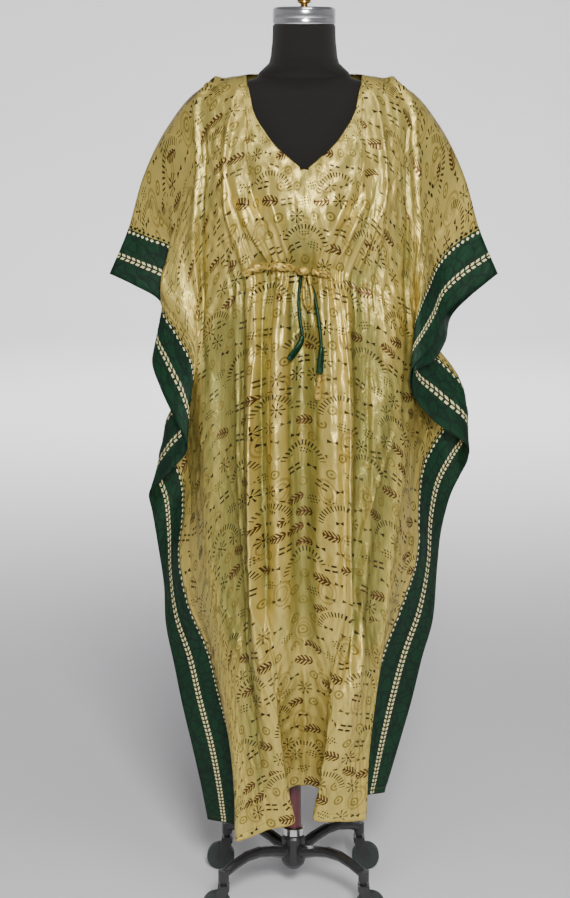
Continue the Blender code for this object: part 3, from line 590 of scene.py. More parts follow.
# The camera: its place (m), how far it looks down (degrees), its lens and frame height (mm)
CAMERA_PLACE = (-0.032, SET_BACK - 3.755, 1.473)
CAMERA_DIP = 10.03
CAMERA_LENS = 88.2
FRAME_HEIGHT = 36


def camera():
    """Stands where the photo was taken from, 3.8 m off and looking a little down."""
    lens = bpy.data.cameras.new("camera")
    lens.sensor_fit = "VERTICAL"
    lens.sensor_height = FRAME_HEIGHT
    lens.lens = CAMERA_LENS
    lens.dof.use_dof = False
    made = bpy.data.objects.new("camera", lens)
    made.location = CAMERA_PLACE
    made.rotation_euler = (math.radians(90 - CAMERA_DIP), 0, 0)
    bpy.context.scene.collection.objects.link(made)
    bpy.context.scene.camera = made


# Shader building


def per_metre(grain_mm):
    """A texture's scale from the size of its grain."""
    return 1000.0 / grain_mm


def put(tree, kind, settings, *feeds, output=0, **named):
    """Adds a shader node with its settings, feeds its inputs in order or by name, and gives one
    of its outputs."""
    node = tree.nodes.new("ShaderNode" + kind)
    for name, value in settings.items():
        setattr(node, name, value)
    fed = list(zip(node.inputs, feeds))
    fed += [(node.inputs[name], feed) for name, feed in named.items()]
    for socket, feed in fed:
        if isinstance(feed, bpy.types.NodeSocket):
            tree.links.new(feed, socket)
        else:
            socket.default_value = feed
    return node.outputs[output]


OPERATIONS = {
    ast.Add: "ADD",
    ast.Sub: "SUBTRACT",
    ast.Mult: "MULTIPLY",
    ast.Div: "DIVIDE",
    ast.Lt: "LESS_THAN",
    ast.Gt: "GREATER_THAN",
}
NAMED_OPERATIONS = {
    "sin": "SINE",
    "cos": "COSINE",
    "abs": "ABSOLUTE",
    "floor": "FLOOR",
    "fract": "FRACT",
    "sqrt": "SQRT",
    "atan2": "ARCTAN2",
    "min": "MINIMUM",
    "max": "MAXIMUM",
}


def reckon(tree, written, **known):
    """Lays a written sum out as math nodes. A name in it stands for a socket or a number."""

    def lay(part):
        if isinstance(part, ast.Constant):
            return float(part.value)
        if isinstance(part, ast.Name):
            return known[part.id]
        if isinstance(part, ast.UnaryOp):
            return put(tree, "Math", {"operation": "MULTIPLY"}, lay(part.operand), -1.0)
        if isinstance(part, ast.Compare):
            kind, feeds = OPERATIONS[type(part.ops[0])], (part.left, part.comparators[0])
        elif isinstance(part, ast.BinOp):
            kind, feeds = OPERATIONS[type(part.op)], (part.left, part.right)
        else:
            kind, feeds = NAMED_OPERATIONS[part.func.id], part.args
        return put(tree, "Math", {"operation": kind}, *[lay(feed) for feed in feeds])

    return lay(ast.parse(written).body[0].value)


def new_material(name, roughness, metallic=0.0, **surface):
    """A material with its shader, its node tree and the constants of its surface."""
    made = bpy.data.materials.new(name)
    made.use_nodes = True
    tree = made.node_tree
    shader = tree.nodes["Principled BSDF"]
    shader.inputs["Roughness"].default_value = roughness
    shader.inputs["Metallic"].default_value = metallic
    for label, value in surface.items():
        shader.inputs[label.replace("_", " ")].default_value = value
    return made, tree, shader


# Print of the cloth, in millimetres. Each motif keeps to a cell, this far across and down
MOTIF_ACROSS = 31.0
MOTIF_DOWN = 27.0
OVAL_ACROSS = 76.0
OVAL_DOWN = 88.0
ARC_ACROSS = 118.0
ARC_DOWN = 93.0

# An arc's radius, and how far its centre lies below the middle of its cell
ARC_RADIUS = 36.0
ARC_LOW = 14.0

# The band: the selvedge from the middle, its inner edge and its row of dashes from the selvedge,
# and the pitch of its teeth and dashes
SELVEDGE = 525.0
BAND_EDGE = 82.0
DASH_ROW = 35.0
TOOTH_PITCH = 10.5

# Stitching: from the neck edge, its drop at the hem, and its pitch
NECK_STITCH = 6.0
HEM_STITCH = 1306.0
STITCH_PITCH = 3.2


def scatter(tree, s, t, across, down, seed):
    """Splits the cloth into cells, every other row set half a cell aside. Gives where a point
    lies in its cell, turned a little at random, and two random numbers of the cell."""
    row = reckon(tree, "floor(t / down)", t=t, down=down)
    aside = reckon(tree, "s + across * (fract(row / 2) > 0.25) / 2", s=s, across=across, row=row)
    line = reckon(tree, "floor(aside / across)", aside=aside, across=across)
    place = put(tree, "CombineXYZ", {}, line, row, seed)
    chance = put(tree, "TexWhiteNoise", {"noise_dimensions": "3D"}, place)
    parts = put(tree, "SeparateXYZ", {}, chance.node.outputs["Color"])
    one, two, three = parts.node.outputs
    x = reckon(tree, "(fract(a / w) - 0.5) * w + (r - 0.5) * 5", a=aside, w=across, r=one)
    y = reckon(tree, "(fract(a / w) - 0.5) * w + (r - 0.5) * 5", a=t, w=down, r=two)
    turn = reckon(tree, "(r - 0.5) * 0.7", r=two)
    turned_x = reckon(tree, "x * cos(a) + y * sin(a)", x=x, y=y, a=turn)
    turned_y = reckon(tree, "y * cos(a) - x * sin(a)", x=x, y=y, a=turn)
    return turned_x, turned_y, chance, three


def in_grains(tree, s, t, across, down):
    """A place on the cloth counted in grains of this size, for a texture of scale 1."""
    grains_across = reckon(tree, "s / across", s=s, across=across)
    grains_down = reckon(tree, "t / down", t=t, down=down)
    return put(tree, "CombineXYZ", {}, grains_across, grains_down, 0.0)


def printed_satin():
    """Printed satin-weave cotton: pale gold with small brown, black and olive block-print motifs,
    and a bottle green band down each selvedge. Its floats give a soft sheen, which the thick
    band print dulls, and painted shade darkens it to olive in the hollows of the folds."""
    made, tree, shader = new_material(
        "printed_satin", roughness=0.40, metallic=0.60, Specular_IOR_Level=0.30
    )
    cloth = put(tree, "UVMap", {"uv_map": "cloth"})
    s = reckon(tree, "u * 1000", u=put(tree, "SeparateXYZ", {}, cloth, output="X"))
    t = reckon(tree, "v * 1000", v=put(tree, "SeparateXYZ", {}, cloth, output="Y"))
    printed = put(tree, "UVMap", {"uv_map": "print"})
    p = reckon(tree, "u * 1000", u=put(tree, "SeparateXYZ", {}, printed))
    painted_hollow_shade = put(tree, "Attribute", {"attribute_name": "painted_hollow_shade"}, output="Fac")
    below_neck = put(tree, "Attribute", {"attribute_name": "below_neck"}, output="Fac")

    # Ground, cloudier than one dye, with painted shade in the hollows of the folds that darkens it to
    # olive
    cloudy = put(tree, "TexNoise", {}, in_grains(tree, s, t, 40, 120), Scale=1.0, Detail=3.0)
    ground = put(tree, "MixRGB", {}, cloudy, linear("#b09848"), linear("#d2bf6a"))
    # Painted shade: olive mixed in by the depth of each trough, along with random clouds of the dye
    dye_and_painted_shade = reckon(tree, "min(max(h * 0.8 + (c - 0.50) * 1.6, 0), 0.8)", h=painted_hollow_shade, c=cloudy)
    ground = put(tree, "MixRGB", {}, dye_and_painted_shade, ground, linear("#747238"))

    # Faint ovals, then arcs of dashes
    x, y, _, _ = scatter(tree, p, t, OVAL_ACROSS, OVAL_DOWN, 3.0)
    oval = reckon(tree, "sqrt(x * x / 210 + y * y / 420)", x=x, y=y)
    rim = reckon(tree, "max(abs(o - 1) < 0.10, abs(o - 0.62) < 0.08)", o=oval)
    ground = put(tree, "MixRGB", {}, reckon(tree, "r * 0.55", r=rim), ground, linear("#846c30"))
    x, y, chance, _ = scatter(tree, p, t, ARC_ACROSS, ARC_DOWN, 7.0)
    from_centre = reckon(tree, "sqrt(x * x + (y - low) * (y - low))", x=x, y=y, low=ARC_LOW)
    off_arc = reckon(tree, "abs(r - arc)", r=from_centre, arc=ARC_RADIUS)
    around = reckon(tree, "atan2(low - y, x)", x=x, y=y, low=ARC_LOW)
    near_arc = reckon(tree, "(d < 8) * (a > 0.2)", d=off_arc, a=around)
    dash = reckon(
        tree,
        "(d < 4.5) * (a > 0.35) * (a < 2.79) * (fract(a * 6.2) < 0.42)",
        d=off_arc, a=around,
    )
    dash = reckon(tree, "d * (c < 0.8)", d=dash, c=chance)

    # Small motifs
    x, y, chance, other = scatter(tree, p, t, MOTIF_ACROSS, MOTIF_DOWN, 1.0)
    x = reckon(tree, "x / 1.08", x=x)
    y = reckon(tree, "y / 1.08", y=y)
    r = reckon(tree, "sqrt(x * x + y * y)", x=x, y=y)
    a = reckon(tree, "atan2(y, x)", x=x, y=y)
    star = reckon(tree, "max(r < 2.2, (abs(r - 7.5) < 4.2) * (cos(a * 8) > 0.55))", r=r, a=a)
    ring = reckon(tree, "max(abs(r - 6.2) < 1.3, r < 2)", r=r)
    dots_x = reckon(tree, "(fract(x / 4.6 + 0.5) - 0.5) * 4.6", x=x)
    dots_y = reckon(tree, "(fract(y / 4.6 + 0.5) - 0.5) * 4.6", y=y)
    dots = reckon(
        tree, "(u * u + v * v < 1.9) * (abs(x) + abs(y) * 1.6 < 14)", u=dots_x, v=dots_y, x=x, y=y
    )
    sprig = reckon(
        tree,
        "max((abs(y) < 1) * (abs(x) < 14), (abs(y) < 8.5 - abs(x) * 0.2) *"
        " (abs(x) < 13) * (fract((x + abs(y) * 0.9) / 6.0) < 0.6))",
        x=x, y=y,
    )
    bow = reckon(tree, "(abs(y) < abs(x) * 0.42) * (abs(x) < 7.5) * (abs(x) > 0.8)", x=x, y=y)
    bars = reckon(tree, "(abs(abs(x) - 5.5) < 4) * (abs(abs(y) - 4) < 1.6)", x=x, y=y)
    free = reckon(tree, "1 - n", n=near_arc)
    pick = "(abs(floor(c * 8) - k) < 0.5) * m * f"
    dark = dash
    for k, mask in ((0, star), (2, dots), (4, bow), (5, bars), (7, bow)):
        chosen = reckon(tree, pick, c=chance, k=float(k), m=mask, f=free)
        dark = reckon(tree, "max(d, p)", d=dark, p=chosen)
    one_ring = reckon(tree, pick, c=chance, k=1.0, m=ring, f=free)
    other_ring = reckon(tree, pick, c=chance, k=6.0, m=ring, f=free)
    olive = reckon(tree, "max(p, q) * 0.9", p=one_ring, q=other_ring)
    brown = reckon(tree, pick, c=chance, k=3.0, m=sprig, f=free)
    dark = reckon(tree, "d * (0.8 + o * 0.2)", d=dark, o=other)
    for printed_here, ink in ((olive, "#7a6a2c"), (brown, "#50351c"), (dark, "#1f1814")):
        ground = put(tree, "MixRGB", {}, printed_here, ground, linear(ink))

    # Band: green, with a toothed edge and a double row of cream dashes
    inward = reckon(tree, "edge - abs(s)", s=s, edge=SELVEDGE)
    in_band = reckon(tree, "d < band", d=inward, band=BAND_EDGE)
    mottle = put(
        tree, "TexVoronoi", {"feature": "DISTANCE_TO_EDGE"}, in_grains(tree, s, t, 17, 23),
        output="Distance", Scale=1.0,
    )
    vein = reckon(tree, "m < 0.09", m=mottle)
    green = put(tree, "MixRGB", {}, cloudy, linear("#011c0c"), linear("#04371c"))
    green = put(tree, "MixRGB", {}, reckon(tree, "v * 0.6", v=vein), green, linear("#01130a"))
    along = reckon(tree, "fract(t / p)", t=t, p=TOOTH_PITCH)
    from_tooth = reckon(tree, "abs(a - 0.5) * p", a=along, p=TOOTH_PITCH)
    tooth = "abs(d - row) * 1.3 + f < size"
    tooth_out = reckon(tree, tooth, d=inward, f=from_tooth, row=BAND_EDGE + 4, size=4.0)
    tooth_in = reckon(tree, tooth, d=inward, f=from_tooth, row=BAND_EDGE - 4.5, size=3.6)
    ground = put(tree, "MixRGB", {}, tooth_out, ground, linear("#1c2a1c"))
    green = put(tree, "MixRGB", {}, tooth_in, green, linear("#e3d6a4"))
    off_row = reckon(tree, "abs(d - row)", d=inward, row=DASH_ROW)
    slant = reckon(tree, "fract((t + d * 0.7) / p)", t=t, d=off_row, p=TOOTH_PITCH)
    dashes = reckon(tree, "(abs(d - 2.9) < 1.7) * (a < 0.62)", d=off_row, a=slant)
    green = put(tree, "MixRGB", {}, dashes, green, linear("#d9cb98"))
    colour = put(tree, "MixRGB", {}, in_band, ground, green)

    # Stitching: neck edge and hem
    from_neck = reckon(tree, "abs(n * 1000 - line)", n=below_neck, line=NECK_STITCH)
    from_hem = reckon(tree, "abs(t - line)", t=t, line=HEM_STITCH)
    on_thread = reckon(tree, "fract(s / pitch) < 0.6", s=s, pitch=STITCH_PITCH)
    stitch = reckon(tree, "max(n < 0.9, h < 0.9) * k * 0.45", n=from_neck, h=from_hem, k=on_thread)
    colour = put(tree, "MixRGB", {}, stitch, colour, linear("#6b5a2e"))
    tree.links.new(colour, shader.inputs["Base Color"])

    # Slubs lie across the cloth, and soft crumples all over. Both are drawn coarser than thread
    slub = put(tree, "TexNoise", {}, in_grains(tree, s, t, 14, 1.6), Scale=1.0, Detail=1.0)
    crumple = put(
        tree, "TexNoise", {}, in_grains(tree, s, t, 16, 26), Scale=1.0, Detail=4.0, Distortion=0.8
    )
    relief = reckon(tree, "c + s * 0.10", c=crumple, s=slub)
    bump = put(tree, "Bump", {}, Strength=0.6, Distance=0.0034, Height=relief)
    tree.links.new(bump, shader.inputs["Normal"])
    rough = reckon(tree, "0.33 + s * 0.14 + b * 0.22", s=slub, b=in_band)
    tree.links.new(rough, shader.inputs["Roughness"])
    tree.links.new(reckon(tree, "0.6 - b * 0.5", b=in_band), shader.inputs["Metallic"])
    return made


# The cloth's fine shape

# Over how much of its line a small fold rises and dies away, and the drops above and below which
# it runs on through the shoulder or the hem instead (m)
LINE_FADE = 0.045
THROUGH_SHOULDER = 0.02
THROUGH_HEM = 1.29


def raised_along(lines, s, t):
    """How far the small folds of a table raise the cloth."""
    raised = np.zeros(np.broadcast(s, t).shape)
    for half_width, height, bends in lines:
        path = millimetres(bends)
        middle = np.interp(t, path[:, 1], path[:, 0])
        length = path[-1, 1] - path[0, 1]
        fade = min(LINE_FADE, length / 3)
        top, foot = path[0, 1], path[-1, 1]
        opening = 1.0 if top < THROUGH_SHOULDER else ease(top - fade, top + fade, t)
        closing = 1.0 if foot > THROUGH_HEM else 1 - ease(foot - fade, foot + fade, t)
        profile = np.exp(-(((s - middle) / (half_width * 0.001)) ** 2))
        raised += height * 0.001 * profile * opening * closing
    return raised


# The drawstring's casing: its drop, half its height and how far it reaches across (m)
CASING_DROP = 0.3785
CASING_HALF = 0.0085
CASING_REACH = 0.245

# Its two lines of stitching and the puff between them: half width, depth or height (m)
CASING_GROOVE = (0.0022, 0.0016)
CASING_PUFF = (0.006, 0.0004)

# The pulled stitching: its place and half width at the hem, its half width at the band, and how
# deep it pulls the cloth in at each (m)
HEM_SEAM = (1.304, 0.008)
BAND_SEAM = 0.011
HEM_PUCKER = 0.0006
BAND_PUCKER = 0.0008

# The gathers: how far they reach across, the pitch of the small and the large ones, and how deep
# they are on each length of cloth (m)
GATHER_REACH = 0.235
SMALL_PITCH = 0.0115
LARGE_PITCH = 0.027
FRONT_GATHER = 0.0076
BACK_GATHER = 0.0050

# Over what distance the small and the large gathers fade, upwards and downwards (m)
SMALL_FADE = (0.030, 0.045)
LARGE_FADE = (0.060, 0.120)


def gathered(s, t, depth):
    """The gathers on both sides of the casing: troughs between rounded ridges, closer at the
    casing and fanning out away from it. They only go inwards."""
    away = t - CASING_DROP
    uneven = s + 0.0028 * np.sin(s * 133) + 0.0020 * np.sin(s * 79 + 1.1)
    fan = 1 + np.abs(away) * np.where(away < 0, 0.9, 0.25)
    small = np.abs(np.sin(math.pi * uneven / fan / SMALL_PITCH)) ** 0.7
    large = np.abs(np.sin(math.pi * (uneven + 0.004) / fan / LARGE_PITCH)) ** 0.8
    fade_small, fade_large = [
        np.where(away < 0, np.exp(away / up), np.exp(-away / down))
        for up, down in (SMALL_FADE, LARGE_FADE)
    ]
    across = 1 - ease(GATHER_REACH - 0.05, GATHER_REACH, np.abs(s))
    return -depth * ((1 - small) * fade_small + 1.3 * (1 - large) * fade_large) * across


def casing(s, t):
    """The drawstring's channel: a low ridge between two lines of stitching."""
    away = t - CASING_DROP
    across = 1 - ease(CASING_REACH - 0.03, CASING_REACH, np.abs(s))
    groove = np.exp(-(((np.abs(away) - CASING_HALF) / CASING_GROOVE[0]) ** 2))
    puff = np.exp(-((away / CASING_PUFF[0]) ** 2))
    return (-CASING_GROOVE[1] * groove + CASING_PUFF[1] * puff) * across


def puckered(s, t):
    """Pulled stitching at the hem, and along the inner edge of the band."""
    hem = np.exp(-(((t - HEM_SEAM[0]) / HEM_SEAM[1]) ** 2))
    hem = hem * (np.sin(s * 380 + 2 * np.sin(s * 61)) - 1)
    band = np.exp(-(((np.abs(s) - (HALF_WIDTH - BAND)) / BAND_SEAM) ** 2))
    band = band * (np.sin(t * 250 + 2 * np.sin(t * 47)) - 1) * ease(0.28, 0.42, t)
    return HEM_PUCKER * hem + BAND_PUCKER * band


# Over what distance beyond a pressed edge the cloth bends down (m)
EDGE_BEND = 0.026


def pressed(s, t):
    """Sharp edges left by the iron, where a flat panel of the skirt falls away."""
    raised = np.zeros(np.broadcast(s, t).shape)
    for side, fall, reach_mm, bends in PRESSED_EDGES:
        path = millimetres(bends)
        reach = 0.001 * reach_mm
        beyond = side * (s - np.interp(t, path[:, 1], path[:, 0]))
        shown = ease(path[0, 1] - 0.03, path[0, 1] + 0.06, t)
        shown = shown * (1 - ease(path[-1, 1] - 0.09, path[-1, 1] + 0.03, t))
        gone = np.maximum(beyond, 0)
        bent = 1 - np.exp(-gone / EDGE_BEND)
        low = 1 - ease(reach / 2, reach, gone)
        raised -= 0.001 * fall * bent * low * shown
    return raised


def creased(t):
    """The straight creases across the cloth."""
    raised = np.zeros(np.shape(t))
    for drop, width, depth in millimetres(PACKING_CREASES):
        raised += depth * np.exp(-(((t - drop) / width) ** 2))
    return raised


# The limp cloth folds a little deeper than the stiff wall that stands for it
FOLD_SHARE = 1.5

# Soft crumples of the thin cloth: length across and down the cloth (mm), where the first one
# starts (radians), depth (mm)
CRUMPLES = (
    (34, 61, 0.5, 0.55),
    (27, -47, 1.9, 0.50),
    (41, 38, 3.1, 0.50),
    (22, -90, 4.4, 0.45),
    (58, 29, 0.9, 0.40),
)


def crumpled(s, t):
    """Shallow crumples that never quite repeat, always inwards."""
    raised = np.zeros(np.broadcast(s, t).shape)
    for across, down, start, depth in CRUMPLES:
        turn = 2 * math.pi * (s / (across * 0.001) + t / (down * 0.001)) + start
        bend = 1.6 * np.sin(17 * s + 11 * t + start) + 1.1 * np.sin(31 * t - 23 * s + 2 * start)
        raised += depth * 0.001 * (np.sin(turn + bend) - 1)
    return raised * ease(0.0, 0.06, t) * (1 - ease(1.26, DROP, t))


# Across the cloth, where the body's own relief dies away (m)
BODY_RELIEF_ENDS = (0.30, 0.36)

# How deep a trough may be before the form shows: everywhere, more below the shoulder and more
# below the hip (m). The last two are the drops where each length passes the hip
LEAST_ROOM = 0.0012
CHEST_ROOM = 0.0085
SKIRT_ROOM = 0.020
FRONT_HIP = 0.52
BACK_HIP = 0.84


def front_relief(s, t):
    """What the front's outer face adds to the solid's smooth shape."""
    inner = 1 - ease(*BODY_RELIEF_ENDS, np.abs(s))
    body = raised_along(FRONT_LINES, s, t) + gathered(s, t, FRONT_GATHER) + crumpled(s, t)
    body += casing(s, t) + creased(t) + pressed(s, t)
    return FOLD_SHARE * raised_by(FRONT_FOLDS, s, t) + body * inner


def shared_relief(s, t):
    """What both layers of a side add."""
    return raised_along(SIDE_LINES, s, t) + puckered(s, t)


def back_relief(s, t):
    """What the back's outer face adds."""
    inner = 1 - ease(*BODY_RELIEF_ENDS, np.abs(s))
    body = raised_along(BACK_LINES, s, t) + gathered(s, t, BACK_GATHER) + crumpled(-s, t)
    body += casing(s, t) + creased(t)
    return FOLD_SHARE * raised_by(BACK_FOLDS, s, t) + body * inner


def clear_of_form(relief, t, hip):
    """Keeps a trough from reaching the form."""
    room = LEAST_ROOM + CHEST_ROOM * ease(0.03, 0.16, t)
    room = room + SKIRT_ROOM * ease(hip - 0.12, hip + 0.03, t)
    return np.where(relief < 0, -room * np.tanh(-relief / room), relief)


def fine_front(s, t):
    """The front's outer face with its relief, and how far its own folds raise it."""
    relief = clear_of_form(front_relief(s, t), t, FRONT_HIP)
    square = facing_of(smooth_front, s, t)
    moved = smooth_front(s, t) + square * (relief + shared_relief(s, t))[..., None]
    return moved, relief


def fine_back(s, t):
    """The same of the back. At the shoulder it doesn't cross to the front's side."""
    relief = clear_of_form(back_relief(s, t), t, BACK_HIP)
    square = -facing_of(smooth_back, s, t)
    base = smooth_back(s, t)
    at_ridge = (np.abs(s) < 0.3) & (t < 0.1)
    base[..., 1] = np.where(at_ridge, np.maximum(base[..., 1], 0.0), base[..., 1])
    moved = base + square * (relief - shared_relief(s, t))[..., None]
    return moved, relief


def spaced(stops):
    """Places along a line from stops of position and spacing."""
    made = []
    for (low, step), (high, _) in zip(stops, stops[1:]):
        made += list(np.linspace(low, high, max(1, round((high - low) / step)), endpoint=False))
    return made + [stops[-1][0]]


def smooth_neck(s, deepest):
    """The neck edge with the table's corners rounded off."""
    near = (-0.008, -0.004, 0.0, 0.004, 0.008)
    return sum(neck_drop(np.minimum(np.abs(s + d), NECK_HALF - 1e-6), deepest) for d in near) / 5


CLOTH_THICKNESS = 0.0008

# How far the two lengths stand apart along the shoulder line, each from the middle (m)
SHOULDER_GAP = 0.0003

# The rows that start at the neck edge come level at this share of the drop
NECK_LEVEL = 0.28

# How deep a trough is where its painted shade is fullest (m)
FULL_SHADE_TROUGH = 0.010


def length_of_cloth(name, surface, turn, deepest, columns, rows):
    """One length of the cloth as a thin shell, with its print's coordinates."""
    half = spaced(columns)
    across = np.array([-s for s in half[:0:-1]] + half)
    down = np.array(spaced(rows))
    s = np.repeat(across[:, None], len(down), axis=1)
    start = np.where(np.abs(across) < NECK_HALF, smooth_neck(across, deepest), 0.0)
    sunk = np.clip(1 - down / (NECK_LEVEL * DROP), 0, 1)
    t = down[None, :] + start[:, None] * sunk[None, :]
    points, relief = surface(s, t)
    points[..., 1] += np.where(t < 0.0005, -SHOULDER_GAP * turn, 0.0) + SET_BACK
    rows_down = len(down)
    first = np.arange(len(across) - 1)[:, None] * rows_down + np.arange(rows_down - 1)[None, :]
    first = first.ravel()
    faces = np.stack([first, first + 1, first + rows_down + 1, first + rows_down], axis=1)
    if turn < 0:
        faces = faces[:, ::-1]
    data = bpy.data.meshes.new(name)
    data.from_pydata(points.reshape(-1, 3), [], faces.tolist())
    data.update()
    corners = np.empty(len(data.loops), dtype=np.int32)
    data.loops.foreach_get("vertex_index", corners)
    smooth = (smooth_front if turn > 0 else smooth_back)(s, t)
    steps = np.linalg.norm(np.diff(smooth, axis=0), axis=-1)
    reach = np.vstack([np.zeros(rows_down), np.cumsum(steps, axis=0)])
    reach -= reach[len(across) // 2]
    for label, aside in (("cloth", s), ("print", reach)):
        flat = np.stack([aside.ravel(), t.ravel()], axis=1)
        layer = data.uv_layers.new(name=label)
        layer.data.foreach_set("uv", flat[corners].astype(np.float32).ravel())
    # Painted shade: the depth of each trough, which darkens the print to olive in the hollows
    painted_hollow_shade = data.attributes.new("painted_hollow_shade", "FLOAT", "POINT")
    depth = np.clip(-relief / FULL_SHADE_TROUGH, 0, 1)
    painted_hollow_shade.data.foreach_set("value", depth.astype(np.float32).ravel())
    below = data.attributes.new("below_neck", "FLOAT", "POINT")
    edge = np.where(np.abs(s) < NECK_HALF, t - start[:, None], np.abs(s) - NECK_HALF + 0.001)
    below.data.foreach_set("value", edge.astype(np.float32).ravel())
    data.polygons.foreach_set("use_smooth", [True] * len(data.polygons))
    made = bpy.data.objects.new(name, data)
    bpy.context.scene.collection.objects.link(made)
    shell = made.modifiers.new("thickness", "SOLIDIFY")
    shell.thickness = CLOTH_THICKNESS
    shell.offset = -1
    return made


# The grid of each length: a place across or down it, and the spacing from there on (m)
CLOTH_COLUMNS = (
    (0.0, 0.0037), (0.086, 0.0024), (NECK_HALF, 0.0036), (0.240, 0.0068), (0.428, 0.0040),
    (0.458, 0.0070), (HALF_WIDTH, 0),
)
CLOTH_ROWS = (
    (0.0, 0.0062), (0.340, 0.0027), (0.425, 0.0074), (1.290, 0.0042), (DROP, 0),
)
BACK_CLOTH_COLUMNS = (
    (0.0, 0.0046), (NECK_HALF, 0.0046), (0.240, 0.0072), (0.428, 0.0045), (0.458, 0.0080),
    (HALF_WIDTH, 0),
)


def kaftan():
    """The front and the back length of printed satin."""
    satin = printed_satin()
    front_cloth = length_of_cloth(
        "front_cloth", fine_front, 1, NECK_DEPTH, CLOTH_COLUMNS, CLOTH_ROWS
    )
    back_cloth = length_of_cloth(
        "back_cloth", fine_back, -1, BACK_NECK_DEPTH, BACK_CLOTH_COLUMNS, CLOTH_ROWS
    )
    for cloth, side, cut_away in ((front_cloth, "front", 0.030), (back_cloth, "back", 0.003)):
        cloth.data.materials.append(satin)
        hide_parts(side + "_panel", side + "_band_left", side + "_band_right")
        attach(cloth, "root")


# Plain finishes


def clouded(tree, deep, pale, grain_mm, detail):
    """A colour that drifts between two tones, and the place on the piece it is read at."""
    place = put(tree, "TexCoord", {}, output="Object")
    cloud = put(tree, "TexNoise", {}, place, Scale=per_metre(grain_mm), Detail=detail)
    return put(tree, "MixRGB", {}, cloud, linear(deep), linear(pale)), place


def skinned(tree, shader, place, grain_mm, detail, strength, depth):
    """A fine uneven skin over the whole surface."""
    skin = put(tree, "TexNoise", {}, place, Scale=per_metre(grain_mm), Detail=detail)
    bump = put(tree, "Bump", {}, Strength=strength, Distance=depth, Height=skin)
    tree.links.new(bump, shader.inputs["Normal"])


def plain_cloth(name, deep, pale, vein):
    """Cut strips of the same printed satin: the dye is a little cloudy, and the strip creases."""
    made, tree, shader = new_material(name, roughness=0.42, metallic=0.45, Specular_IOR_Level=0.30)
    colour, place = clouded(tree, deep, pale, grain_mm=9.0, detail=3.0)
    print_noise = put(tree, "TexNoise", {}, place, Scale=per_metre(5.0), Detail=0.0)
    marks = reckon(tree, "(n > 0.60) * 0.7", n=print_noise)
    colour = put(tree, "MixRGB", {}, marks, colour, linear(vein))
    tree.links.new(colour, shader.inputs["Base Color"])
    skinned(tree, shader, place, grain_mm=5.0, detail=2.0, strength=0.5, depth=0.001)
    return made


def matte_jersey():
    """Knitted stretch cotton jersey pulled over a padded form: near black, with no gloss."""
    made, tree, shader = new_material(
        "matte_jersey", roughness=0.88,
        Sheen_Weight=0.08, Sheen_Roughness=0.6, Specular_IOR_Level=0.22,
    )
    colour, place = clouded(tree, "#0c0b09", "#16140f", grain_mm=2.4, detail=4.0)
    tree.links.new(colour, shader.inputs["Base Color"])
    skinned(tree, shader, place, grain_mm=1.6, detail=3.0, strength=0.35, depth=0.0006)
    return made


def polished_metal(name, deep, pale, least, spread):
    """A polished plate or turning: one colour of metal, hazy here and there from handling."""
    made, tree, shader = new_material(name, roughness=least, metallic=1.0)
    colour, place = clouded(tree, deep, pale, grain_mm=12.0, detail=3.0)
    tree.links.new(colour, shader.inputs["Base Color"])
    handled = put(tree, "TexNoise", {}, place, Scale=per_metre(5.0), Detail=4.0)
    haze = reckon(tree, "least + n * spread", least=least, n=handled, spread=spread)
    tree.links.new(haze, shader.inputs["Roughness"])
    return made


def polished_chrome():
    """Chromium plate over pressed steel: a clear, cold mirror."""
    return polished_metal("polished_chrome", "#c6c7c9", "#dcdcdc", least=0.10, spread=0.12)


def turned_brass():
    """Lathe-turned brass, lacquered: yellow and a little dull."""
    return polished_metal("turned_brass", "#b98f45", "#d2ac62", least=0.18, spread=0.18)


def stoved_paint(name, deep, pale, roughness):
    """Enamel sprayed and baked on steel: a satin skin with a slight orange peel."""
    made, tree, shader = new_material(
        name, roughness=roughness, Coat_Weight=0.25, Coat_Roughness=0.25
    )
    colour, place = clouded(tree, deep, pale, grain_mm=14.0, detail=3.0)
    tree.links.new(colour, shader.inputs["Base Color"])
    skinned(tree, shader, place, grain_mm=3.0, detail=1.0, strength=0.25, depth=0.0004)
    return made


def tyre_rubber():
    """Moulded grey-green rubber, dusty in random clouds."""
    made, tree, shader = new_material("tyre_rubber", roughness=0.62)
    colour, place = clouded(tree, "#161d1a", "#272f2b", grain_mm=5.0, detail=4.0)
    tree.links.new(colour, shader.inputs["Base Color"])
    skinned(tree, shader, place, grain_mm=1.8, detail=2.0, strength=0.3, depth=0.0004)
    return made


def pale_paper():
    """Uncoated background paper off a roll: matt and nearly white, with faint wide clouds."""
    made, tree, shader = new_material("pale_paper", roughness=0.9)
    colour, _ = clouded(tree, "#f0eff1", "#f5f4f6", grain_mm=900.0, detail=2.0)
    tree.links.new(colour, shader.inputs["Base Color"])
    return made


# The dress form


def loft_into(mesh, rings):
    """Faces through rings of points, with flat ends."""
    made = [[mesh.verts.new(p) for p in ring] for ring in rings]
    count = len(rings[0])
    for low, high in zip(made, made[1:]):
        for k in range(count):
            mesh.faces.new((low[k], low[(k + 1) % count], high[(k + 1) % count], high[k]))
    mesh.faces.new(made[0][::-1])
    mesh.faces.new(made[-1])


def body_of(name, rings, material, node):
    """A closed body through rings, standing for one node."""
    mesh = bmesh.new()
    loft_into(mesh, rings)
    bmesh.ops.recalc_face_normals(mesh, faces=mesh.faces[:])
    data = bpy.data.meshes.new(name)
    mesh.to_mesh(data)
    mesh.free()
    data.polygons.foreach_set("use_smooth", [True] * len(data.polygons))
    made = bpy.data.objects.new(name, data)
    bpy.context.scene.collection.objects.link(made)
    made.data.materials.append(material)
    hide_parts(node)
    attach(made, "root")
    return made


# The jersey lies this far inside the solid, so that the cloth clears it (m)
JERSEY_INSET = 0.0006
JERSEY_SEGMENTS = 96

